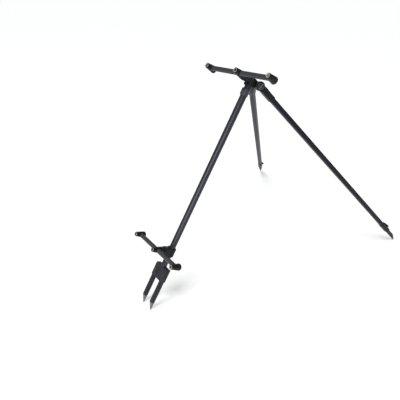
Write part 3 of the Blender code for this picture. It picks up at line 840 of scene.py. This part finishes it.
def lug_wedge():
    """Rear tongue of the hub: its two flat sides lie square to the two hinge axes."""
    pivot = LEG.inverted() @ Vector(JOINTS["right_leg_fold"]["pos_m"])
    centre = pivot.y + LUG_FACE * math.sin(REAR_SPLAY)
    face = pivot.x - LUG_FACE * math.cos(REAR_SPLAY)
    root = HUB_BACK - LUG_ROOT
    steps = ROUND_STEPS // 2
    outline = [(root, -LUG_RADIUS)]
    for index in range(steps + 1):
        angle = math.pi * (index / steps - 0.5)
        outline.append((centre + LUG_RADIUS * math.cos(angle), LUG_RADIUS * math.sin(angle)))
    outline.append((root, LUG_RADIUS))
    bm = bmesh.new()
    loops = []
    for side in (-1, 1):
        loop = []
        for y, z in outline:
            reach = face + (y - centre) * math.tan(REAR_SPLAY)
            loop.append(bm.verts.new((side * reach, y, z)))
        loops.append(loop)
        bm.faces.new(loop)
    near, far = loops
    for step in range(len(outline)):
        after = (step + 1) % len(outline)
        bm.faces.new((near[step], near[after], far[after], far[step]))
    return bm


def bolt_frame(name, side):
    """Frame of a hinge bolt: its Z axis points out of the hub."""
    return REAR[name] @ Matrix.Rotation(side * math.radians(90.0), 4, "Y")


def make_front_leg():
    inner = Solid(
        ring(INNER_RADIUS, INNER_BORE, -INNER_BOTTOM, -INNER_TOP, FINE_STEPS, TUBE_EDGE)
    )
    inner.settle("inner_tube", LEG, "hub", INNER_COATING, "main_inner_tube")
    tube = Solid(
        ring(TUBE_RADIUS, TUBE_BORE, GAP - FORK_TOP, -TUBE_TOP, FINE_STEPS, TUBE_EDGE)
    )
    tube.settle("leg_tube", LEG, "front_leg", LEG_COATING, "main_leg_tube")
    make_collar()
    make_fork()


def make_collar():
    bore = TUBE_RADIUS + GAP
    bottom = TUBE_TOP + COLLAR_LENGTH
    level = Matrix.Translation((0.0, 0.0, -TUBE_TOP - COLLAR_LENGTH / 2.0))
    half = COLLAR_BOSS_WIDTH / 2.0
    inside = math.sqrt(bore * bore - half * half) + COLLAR_WALL / 2.0
    collar = Solid(ring(bore + COLLAR_WALL, bore, -bottom, -TUBE_TOP, FINE_STEPS, COLLAR_EDGE))
    low = (-half, -COLLAR_BOSS_REACH, COLLAR_BOSS_INSET - bottom)
    high = (half, -inside, -COLLAR_BOSS_INSET - TUBE_TOP)
    collar.join(block(low, high, COLLAR_BOSS_EDGE))
    collar.cut(rod(bore, -bottom - OVERRUN, OVERRUN - TUBE_TOP, FINE_STEPS))
    hole = rod(COLLAR_SCREW_RADIUS + GAP, -COLLAR_BOSS_REACH - OVERRUN, -TUBE_BORE, SMALL_STEPS)
    collar.cut(hole, level @ ALONG_Y)
    collar.settle("leg_collar", LEG, "front_leg", COLLAR_MOULDING, "main_leg_collar")
    outer = COLLAR_BOSS_REACH - COLLAR_SCREW_SUNK
    screw = Solid(
        rod(COLLAR_SCREW_RADIUS, -outer, -TUBE_RADIUS - GAP, SMALL_STEPS, COLLAR_SCREW_EDGE)
    )
    socket = COLLAR_SCREW_SOCKET
    screw.cut(rod(socket, -outer - OVERRUN, socket - outer, HEXAGON))
    lay = LEG @ level @ ALONG_Y
    screw.settle("leg_collar_screw", lay, "front_leg", STEEL, "main_leg_collar_screw")


def make_fork():
    half_width = FORK_WIDTH / 2.0
    half_depth = FORK_DEPTH / 2.0
    low = (-half_width, -half_depth, -FORK_BOTTOM)
    high = (half_width, half_depth, -FORK_TOP)
    fork = Solid(block(low, high, FORK_EDGE))
    plug_foot = -FORK_TOP - FORK_EDGE * 2.0
    fork.join(rod(PLUG_RADIUS, plug_foot, PLUG_LENGTH - FORK_TOP, edge=PLUG_EDGE))
    for side in (-1, 1):
        near, far = panel_span(side, half_depth - FORK_PANEL_DEPTH)
        low = (-FORK_PANEL_HALF_WIDTH, near, FORK_PANEL_INSET - FORK_BOTTOM)
        fork.cut(block(low, (FORK_PANEL_HALF_WIDTH, far, -FORK_TOP - FORK_PANEL_INSET)))
    for name, side in (("left", -1), ("right", 1)):
        shift = Matrix.Translation((side * PRONG_SPACING / 2.0, 0.0, 0.0))
        roof = PRONG_SEAT - FORK_BOTTOM + GAP
        socket = square_bar(PRONG_SQUARE + 2.0 * GAP, 0.0, -FORK_BOTTOM - OVERRUN, roof)
        fork.cut(socket, shift)
        level = Matrix.Translation((0.0, 0.0, -FORK_TOP - FORK_SCREW_LEVEL))
        screw_place = shift @ level @ ALONG_Y
        hole = rod(FORK_SCREW_SHANK + GAP, -half_depth - OVERRUN, -PRONG_SQUARE / 2.0)
        fork.cut(hole, screw_place)
        make_prong(name, shift)
        make_fork_screw(name, screw_place)
    fork.settle("fork", LEG, "front_leg", FORK_MOULDING, "fork_block")


def make_prong(name, shift):
    top = FORK_BOTTOM - PRONG_SEAT
    tip = (PRONG_POINT, PRONG_TIP_SIDE, PRONG_TIP_BACK)
    prong = Solid(pointed_bar(PRONG_SQUARE, PRONG_EDGE, top, FORK_BOTTOM + PRONG_OUT, *tip))
    place = LEG @ shift
    prong.settle(
        f"fork_prong_{name}", place, "front_leg", PRONG_COATING, f"prong_{name}"
    )


def make_fork_screw(name, screw_place):
    """Pan head screw with a cross recess."""
    prong_face = PRONG_SQUARE / 2.0
    seat = FORK_DEPTH / 2.0 + GAP
    top = seat + FORK_SCREW_RISE
    profile = [(0.0, -top)]
    for index in range(1, DOME_STEPS + 1):
        angle = math.pi / 2.0 * index / DOME_STEPS
        rise = FORK_SCREW_RISE * math.cos(angle) * FORK_SCREW_DOME
        profile.append((FORK_SCREW_HEAD * math.sin(angle), -seat - rise))
    profile += [
        (FORK_SCREW_SHANK, -seat),
        (FORK_SCREW_SHANK, -prong_face - GAP),
        (0.0, -prong_face - GAP),
    ]
    screw = Solid(turned(profile, SMALL_STEPS))
    for x, y in ((CROSS_REACH, CROSS_HALF_WIDTH), (CROSS_HALF_WIDTH, CROSS_REACH)):
        screw.cut(block((-x, -y, -top - OVERRUN), (x, y, CROSS_DEPTH - top)))
    lay = LEG @ screw_place
    node = f"fork_screw_{name}"
    screw.settle(f"fork_pan_screw_{name}", lay, "front_leg", BLACK_STEEL, node)


def make_lock_knob(level, place, arm_length, body):
    """Ribbed collar that locks a cross bar, with a groove between two ribbed bands."""
    low = arm_length + GAP
    high = low + KNOB_LENGTH
    body_radius = KNOB_RADIUS - KNOB_RIB_RISE
    groove = KNOB_RADIUS - KNOB_GROOVE_DEPTH
    middle = (low + high) / 2.0
    profile = [
        (STUD_BORE, -high),
        (body_radius - KNOB_EDGE, -high),
        (body_radius, KNOB_EDGE - high),
        (body_radius, -middle - KNOB_GROOVE_MOUTH),
        (groove, -middle - KNOB_GROOVE_FLOOR),
        (groove, -middle + KNOB_GROOVE_FLOOR),
        (body_radius, -middle + KNOB_GROOVE_MOUTH),
        (body_radius, -low - KNOB_EDGE),
        (body_radius - KNOB_EDGE, -low),
        (STUD_BORE, -low),
    ]
    knob = Solid(turned(profile, FINE_STEPS, hollow=True))
    band = (KNOB_LENGTH - 2.0 * KNOB_EDGE) / 2.0 - KNOB_BAND_SHORT
    for centre in (
        -middle - KNOB_BAND_START - band / 2.0,
        -middle + KNOB_BAND_START + band / 2.0,
    ):
        knob.grow(
            RIBS,
            Count=KNOB_RIBS,
            Circle=body_radius,
            Rib=KNOB_RADIUS - body_radius,
            Length=band,
            Level=centre,
            Finish=GLOSS,
        )
    knob.settle(
        f"{level}_knob", place @ ALONG_Y, body, GLOSS, f"{level}_lock_knob"
    )


def head_profile(stud_bore):
    """Tapered head, revolved about the insert's axis; height runs from insert to far end."""
    recess = INSERT_LENGTH - INSERT_PROUD + GAP
    insert_bore = INSERT_RADIUS + GAP
    floor = recess - HEAD_FRONT
    profile = [
        (0.0, floor),
        (insert_bore, floor),
        (insert_bore, -HEAD_FRONT),
        (HEAD_FRONT_RADIUS - HEAD_CHAMFER, -HEAD_FRONT),
        (HEAD_FRONT_RADIUS, HEAD_CHAMFER - HEAD_FRONT),
    ]
    for index in range(HEAD_STEPS + 1):
        angle = math.pi / 2.0 * index / HEAD_STEPS
        radius = HEAD_BACK_RADIUS - HEAD_ROUND * (1.0 - math.cos(angle))
        profile.append((radius, HEAD_BACK - HEAD_ROUND * (1.0 - math.sin(angle))))
    if stud_bore:
        roof = HEAD_BACK - STUD_IN_HEAD - GAP
        profile += [(STUD_BORE, HEAD_BACK), (STUD_BORE, roof), (0.0, roof)]
    else:
        profile.append((0.0, HEAD_BACK))
    return profile


def make_bar(level, place, body, finish):
    spacing = HEAD_SPACING[level]
    end = spacing - BAR_END
    bar = Solid(rod(BAR_RADIUS, -end, end, FINE_STEPS, BAR_EDGE), ALONG_X)
    bar.settle(f"{level}_cross_bar", place, body, finish, f"{level}_bar")
    for name, side in (("left", -1), ("middle", 0), ("right", 1)):
        shift = Matrix.Translation((side * spacing, 0.0, 0.0))
        head = Solid(turned(head_profile(side == 0), FINE_STEPS), ALONG_Y)
        span = {
            0: (-HEAD_BACK_RADIUS - OVERRUN, HEAD_BACK_RADIUS + OVERRUN),
            1: (-HEAD_BACK_RADIUS - OVERRUN, GAP - BAR_END),
            -1: (BAR_END - GAP, HEAD_BACK_RADIUS + OVERRUN),
        }[side]
        head.cut(rod(BAR_RADIUS + GAP, *span), ALONG_X)
        head.settle(
            f"{level}_bar_head_{name}",
            place @ shift,
            body,
            HEAD_MOULDING[level],
            f"{level}_head_{name}",
        )
        make_insert(level, name, place @ shift, body)


def make_insert(level, name, place, body):
    """Brass insert with a chamfered mouth and a helical thread."""
    face = -HEAD_FRONT - INSERT_PROUD
    inner = face + INSERT_LENGTH
    thread_root = INSERT_BORE + THREAD_WIRE
    profile = [
        (thread_root, face + INSERT_MOUTH_DEPTH),
        (thread_root + INSERT_MOUTH_WIDTH, face),
        (INSERT_RADIUS - INSERT_EDGE, face),
        (INSERT_RADIUS, face + INSERT_EDGE),
        (INSERT_RADIUS, inner),
        (thread_root, inner),
    ]
    # Painted light and shade in the bores: the upper right insert's bore is painted as lit, the
    # others as shaded
    painted_bore_shade = PAINTED_LIT_BORE if (level, name) == ("upper", "right") else PAINTED_SHADED_BORE
    brass = turned_brass(f"{level}_{name}_insert_brass", place, face, painted_bore_shade)
    insert = Solid(turned(profile, hollow=True))
    length = INSERT_LENGTH - 2.0 * THREAD_MARGIN
    insert.grow(
        THREAD,
        Turns=length / THREAD_PITCH,
        Bore=thread_root,
        Wire=THREAD_WIRE,
        Length=length,
        Level=face + THREAD_MARGIN,
        Finish=brass,
    )
    lay = place @ ALONG_Y
    node = f"{level}_insert_{name}"
    insert.settle(f"{level}_thread_insert_{name}", lay, body, brass, node)


def make_slider():
    sleeve = rod(SLIDER_RADIUS, -SLIDER_BELOW, SLIDER_ABOVE, FINE_STEPS, SLIDER_EDGE)
    slider = Solid(sleeve)
    low = (-SLIDER_ARM_HALF_WIDTH, -SLIDER_ARM_LENGTH, -SLIDER_ARM_HALF_HEIGHT)
    high = (SLIDER_ARM_HALF_WIDTH, 0.0, SLIDER_ARM_HALF_HEIGHT)
    slider.join(block(low, high, SLIDER_EDGE))
    bore = TUBE_RADIUS + GAP
    slider.cut(drill(bore, -SLIDER_BELOW - OVERRUN, SLIDER_ABOVE + OVERRUN, FINE_STEPS))
    stud_end = SLIDER_ARM_LENGTH - STUD_IN_ARM - GAP
    slider.cut(rod(STUD_BORE, -SLIDER_ARM_LENGTH - OVERRUN, -stud_end), ALONG_Y)
    slider.settle("slider", SLIDER, "slider", SLIDER_MOULDING, "slider_block")


def make_hinge_bolt(name, side):
    lay = bolt_frame(name, side)
    washer_low = KNUCKLE_HALF + GAP
    washer_high = washer_low + WASHER_THICKNESS
    washer = Solid(
        ring(WASHER_RADIUS, BOLT_BORE, washer_low, washer_high, SMALL_STEPS, WASHER_EDGE)
    )
    washer.settle(f"{name}_hinge_washer", lay, "hub", STEEL, f"{name}_leg_washer")
    seat = washer_high + GAP
    top = seat + BOLT_HEAD_RISE
    profile = [
        (0.0, -LUG_FACE - BOLT_IN_LUG),
        (BOLT_RADIUS, -LUG_FACE - BOLT_IN_LUG),
        (BOLT_RADIUS, seat),
        (BOLT_HEAD_RADIUS - BOLT_HEAD_FOOT, seat),
        (BOLT_HEAD_RADIUS, seat + BOLT_HEAD_FOOT),
        (BOLT_HEAD_RADIUS, top - BOLT_HEAD_EDGE),
        (BOLT_HEAD_RADIUS - BOLT_HEAD_EDGE * 0.4, top - BOLT_HEAD_EDGE * 0.4),
        (BOLT_HEAD_RADIUS - BOLT_HEAD_EDGE * 1.4, top),
        (0.0, top),
    ]
    bolt = Solid(turned(profile, FINE_STEPS))
    half = BOLT_SLOT_WIDTH / 2.0
    run = BOLT_HEAD_RADIUS + OVERRUN
    bolt.cut(block((-half, -run, top - BOLT_SLOT_DEPTH), (half, run, top + OVERRUN)))
    steel = machined_steel(
        f"{name}_bolt_steel", lay, tone=0.045, tint=(0.90, 1.0, 1.18), metal=0.6, slot=half
    )
    bolt.settle(f"{name}_hinge_bolt", lay, "hub", steel, f"{name}_leg_bolt")


def make_rear_leg(name, side):
    body = f"{name}_leg"
    place = REAR[name]
    make_hinge_bolt(name, side)
    make_knuckle(name, place, body)
    tube_top = SOCKET_TOP + SOCKET_ROOF + GAP
    tube_end = FOOT_TOP + FOOT_SEAT
    tube = Solid(square_bar(LEG_SQUARE, LEG_EDGE, -tube_end, -tube_top))
    bore = LEG_SQUARE - 2.0 * LEG_WALL
    tube.cut(square_bar(bore, 0.0, -tube_end - OVERRUN, OVERRUN - tube_top))
    tube.settle(
        f"{name}_square_tube", place, body, REAR_COATING[name], f"{name}_leg_tube"
    )
    make_foot(name, side, place, body)


def make_knuckle(name, place, body):
    half = SOCKET_SQUARE / 2.0
    disc = rod(KNUCKLE_RADIUS, -KNUCKLE_HALF, KNUCKLE_HALF, edge=KNUCKLE_EDGE)
    knuckle = Solid(disc, ALONG_X)
    web = KNUCKLE_HALF - KNUCKLE_EDGE
    neck_foot = (-web, -half, -SOCKET_TOP - SOCKET_ROOF / 2.0)
    knuckle.join(block(neck_foot, (web, half, 0.0), NECK_EDGE, along=2))
    knuckle.join(block((-half, -half, -SOCKET_END), (half, half, -SOCKET_TOP), SOCKET_EDGE))
    knuckle.join(back_web(web, 0.0, WEB_SUNK + WEB_STEP))
    knuckle.join(back_web(half - WEB_INSET, -SOCKET_TOP - WEB_START, WEB_SUNK))
    knuckle.cut(drill(BOLT_BORE, -half - OVERRUN, half + OVERRUN), ALONG_X)
    roof = -SOCKET_TOP - SOCKET_ROOF
    knuckle.cut(square_bar(LEG_SQUARE + 2.0 * GAP, LEG_EDGE, -SOCKET_END - OVERRUN, roof))
    finish = SOCKET_MOULDING[name]
    knuckle.settle(f"{name}_hinge_socket", place, body, finish, f"{name}_leg_joint")


def back_web(half_width, top, sunk):
    """Web that tapers from the knuckle's back to a little under the socket's face."""
    low = (-half_width, 0.0, -WEB_END)
    bm = block(low, (half_width, SOCKET_SQUARE / 2.0 - sunk, top), WEB_EDGE)
    slope = (WEB_REACH - SOCKET_SQUARE / 2.0) / WEB_END
    for vert in bm.verts:
        if vert.co.y > SOCKET_SQUARE / 4.0:
            vert.co.y += slope * (vert.co.z + WEB_END)
    return bm


def make_foot(name, side, place, body):
    collar = Solid(square_bar(FOOT_SQUARE, FOOT_EDGE, -FOOT_BOTTOM, -FOOT_TOP))
    above = OVERRUN - FOOT_TOP
    seat_floor = -FOOT_TOP - FOOT_SEAT - GAP
    collar.cut(square_bar(LEG_SQUARE + 2.0 * GAP, LEG_EDGE, seat_floor, above))
    collar.cut(square_bar(SPIKE_SQUARE + 2.0 * GAP, 0.0, -FOOT_BOTTOM - OVERRUN, above))
    level = Matrix.Translation((0.0, 0.0, -THUMB_LEVEL))
    outer = FOOT_SQUARE / 2.0
    collar.cut(rod(THUMB_SHANK + GAP, 0.0, outer + OVERRUN, SMALL_STEPS), level @ ALONG_Y)
    finish = SOCKET_MOULDING[name]
    collar.settle(f"{name}_foot_collar", place, body, finish, f"{name}_leg_collar")
    end = -(place.inverted() @ lowest_point(f"{name}_leg_spike")).z
    tip = (SPIKE_POINT, -side * SPIKE_TIP_SIDE, -SPIKE_TIP_BACK)
    spike = Solid(pointed_bar(SPIKE_SQUARE, SPIKE_EDGE, FOOT_TOP - SPIKE_INSIDE, end, *tip))
    piece = f"{name}_spike"
    finish = SPIKE_COATING[name]
    spike.settle(piece, place, piece, finish, f"{name}_leg_spike")
    make_thumbscrew(name, place @ level)


def lowest_point(node):
    mesh = frame["nodes"][node].data
    return min((vert.co for vert in mesh.vertices), key=lambda point: point.z).copy()


def make_thumbscrew(name, place):
    """Ribbed thumbscrew with a shallow dish round a boss; its shank ends at the spike."""
    low = FOOT_SQUARE / 2.0 + THUMB_GAP
    high = low + THUMB_THICKNESS
    rim = THUMB_RADIUS - THUMB_RIB_RISE
    lip = rim - THUMB_LIP
    dish = high - THUMB_DISH_DEPTH
    profile = [
        (0.0, SPIKE_SQUARE / 2.0 + GAP),
        (THUMB_SHANK, SPIKE_SQUARE / 2.0 + GAP),
        (THUMB_SHANK, low),
        (rim - THUMB_EDGE, low),
        (rim, low + THUMB_EDGE),
        (rim, high - THUMB_EDGE),
        (rim - THUMB_EDGE * 0.5, high - THUMB_EDGE * 0.25),
        (rim - THUMB_EDGE * 1.6, high),
        (lip, high),
        (lip - THUMB_DISH_SLOPE, dish),
        (THUMB_BOSS_FOOT, dish),
        (THUMB_BOSS_RADIUS, high),
        (0.0, high),
    ]
    screw = Solid(turned(profile, FINE_STEPS))
    screw.grow(
        RIBS,
        Count=THUMB_RIBS,
        Circle=rim,
        Rib=THUMB_RADIUS - rim,
        Length=THUMB_THICKNESS - 2.0 * THUMB_EDGE,
        Level=(low + high) / 2.0,
        Finish=THUMB_MOULDING,
    )
    piece = f"{name}_thumbscrew"
    node = f"{name}_leg_thumbscrew"
    screw.settle(piece, place @ ALONG_Y, piece, THUMB_MOULDING, node)


def dress_hidden_nodes():
    """Studs stay as the CAD model has them and take the steel finish."""
    for name in ("upper_stud", "lower_stud"):
        item = frame["nodes"][name]
        item.data.materials.clear()
        item.data.materials.append(STEEL)


def place_camera():
    forward = Vector(
        (
            -math.sin(CAMERA_AZIMUTH) * math.cos(CAMERA_PITCH),
            math.cos(CAMERA_AZIMUTH) * math.cos(CAMERA_PITCH),
            -math.sin(CAMERA_PITCH),
        )
    )
    right = Vector((math.cos(CAMERA_AZIMUTH), math.sin(CAMERA_AZIMUTH), 0.0))
    right = Matrix.Rotation(CAMERA_ROLL, 3, forward) @ right
    matrix = Matrix((right, right.cross(forward), -forward)).transposed().to_4x4()
    matrix.translation = LEG.translation + CAMERA_FROM_HUB
    data = bpy.data.cameras.new("photo_camera")
    data.sensor_width = SENSOR_WIDTH
    data.lens = data.sensor_width * FOCAL_PIXELS / FRAME_PIXELS
    data.clip_end = FAR_CLIP
    camera = new_object("photo_camera", data)
    camera.matrix_world = matrix
    bpy.context.scene.camera = camera


def place_floor():
    """Pale floor that the camera sees near white, with soft shadows on it."""
    bm = bmesh.new()
    bmesh.ops.create_grid(bm, x_segments=1, y_segments=1, size=FLOOR_HALF)
    mesh = bpy.data.meshes.new("studio_floor")
    bm.to_mesh(mesh)
    bm.free()
    floor = new_object("studio_floor", mesh)
    paper = Finish("studio_paper", Matrix.Identity(4))
    paper.fix(Base_Color=(0.90, 0.90, 0.90, 1.0), Roughness=0.9, Specular_IOR_Level=0.0)
    rays = paper.node("ShaderNodeLightPath").outputs
    seen = Number(paper, rays["Is Camera Ray"]).larger(Number(paper, rays["Is Glossy Ray"]))
    seen = seen.larger(Number(paper, rays["Is Transmission Ray"]))
    plain = {"Color": (1.0, 1.0, 1.0, 1.0), "Strength": 1.0}
    white = paper.node("ShaderNodeEmission", None, plain)
    blend = paper.node(
        "ShaderNodeMixShader",
        None,
        {0: seen * FLOOR_WHITE, 1: paper.shader.outputs["BSDF"], 2: white.outputs["Emission"]},
    )
    paper.feed(paper.tree.nodes["Material Output"].inputs["Surface"], blend.outputs["Shader"])
    mesh.materials.append(paper.material)


def place_light(name, kind, place, aim, energy):
    """Lamp that shines at a point and whose Y axis leans with the front leg."""
    data = bpy.data.lights.new(name, kind)
    data.energy = energy
    light = new_object(name, data)
    back = place - aim
    light.matrix_world = frame_from(place, LEG.col[2].xyz.cross(back), back)
    return data


def place_lights():
    world = bpy.data.worlds.new("studio")
    bpy.context.scene.world = world
    world.use_nodes = True
    background = world.node_tree.nodes["Background"]
    background.inputs["Color"].default_value = (*SKY_COLOUR, 1.0)
    background.inputs["Strength"].default_value = SKY_STRENGTH
    overhead = place_light(
        "overhead_light", "SUN", OVERHEAD_PLACE, OVERHEAD_AIM, OVERHEAD_STRENGTH
    )
    overhead.angle = OVERHEAD_ANGLE
    strip = place_light("strip_light", "AREA", STRIP_PLACE, STRIP_AIM, STRIP_POWER)
    strip.shape = "RECTANGLE"
    strip.size = STRIP_WIDTH
    strip.size_y = STRIP_LENGTH


MOULDING = moulded_black("hub_moulding", LEG, worn=-HUB_BELOW)
COLLAR_MOULDING = moulded_black("collar_moulding", LEG, tone=0.036, gloss=0.32, shine=0.36)
FORK_MOULDING = moulded_black("fork_moulding", LEG, tone=0.018, gloss=0.50)
SLIDER_MOULDING = moulded_black("slider_moulding", SLIDER, gloss=0.40)
HEAD_MOULDING = {
    "upper": moulded_black("upper_head_moulding", UPPER_BAR, tone=0.009, gloss=0.40),
    "lower": moulded_black("lower_head_moulding", LOWER_BAR, tone=0.009, gloss=0.40),
}
SOCKET_MOULDING = {
    name: moulded_black(f"{name}_socket_moulding", REAR[name], tone=0.010, gloss=0.42, shine=0.22)
    for name in REAR
}
GLOSS = moulded_black("knob_moulding", LEG, tone=0.010, gloss=0.24)
THUMB_MOULDING = moulded_black("thumbscrew_moulding", LEG, tone=0.005, gloss=0.46, shine=0.06)
LEG_COATING = drawn_coating("leg_anodising", LEG, tone=0.017, gloss=0.27, shine=0.36, rings=0.25)
INNER_COATING = drawn_coating(
    "inner_tube_anodising", LEG, tone=0.180, gloss=0.36, shine=0.50, rings=0.30
)
REAR_COATING = {
    name: drawn_coating(
        f"{name}_leg_coating", REAR[name], tone=0.009, gloss=0.42, shine=0.23, blue=1.25
    )
    for name in REAR
}
SPIKE_COATING = {
    name: drawn_coating(f"{name}_spike_coating", REAR[name], tone=0.014, gloss=0.44, rings=0.4)
    for name in REAR
}
POINT_START = -(FORK_BOTTOM + PRONG_OUT - PRONG_POINT)
PRONG_COATING = drawn_coating("prong_coating", LEG, tone=0.009, gloss=0.46, ground=POINT_START)
# The two bars are the same satin aluminium: the lower bar's higher tone is painted light, the
# upper bar's lower tone painted shade
BAR_FINISH = {
    "upper": satin_aluminium("upper_bar_satin", UPPER_BAR, tone=0.030),
    "lower": satin_aluminium("lower_bar_satin", LOWER_BAR, tone=0.038),
}
STEEL = machined_steel("screw_steel", LEG, tone=0.30)
BLACK_STEEL = machined_steel(
    "blackened_screw_steel", LEG, tone=0.055, tint=(0.90, 0.95, 1.05), metal=0.5
)

make_hub()
make_front_leg()
make_lock_knob("upper", LEG, HUB_ARM_LENGTH, "upper_knob")
make_bar("upper", UPPER_BAR, "upper_bar_set", BAR_FINISH["upper"])
make_slider()
make_lock_knob("lower", SLIDER, SLIDER_ARM_LENGTH, "lower_knob")
make_bar("lower", LOWER_BAR, "lower_bar_set", BAR_FINISH["lower"])
for leg_name, leg_side in (("left", -1), ("right", 1)):
    make_rear_leg(leg_name, leg_side)
dress_hidden_nodes()
place_floor()
place_lights()
place_camera()
bpy.context.scene.view_settings.view_transform = "Standard"
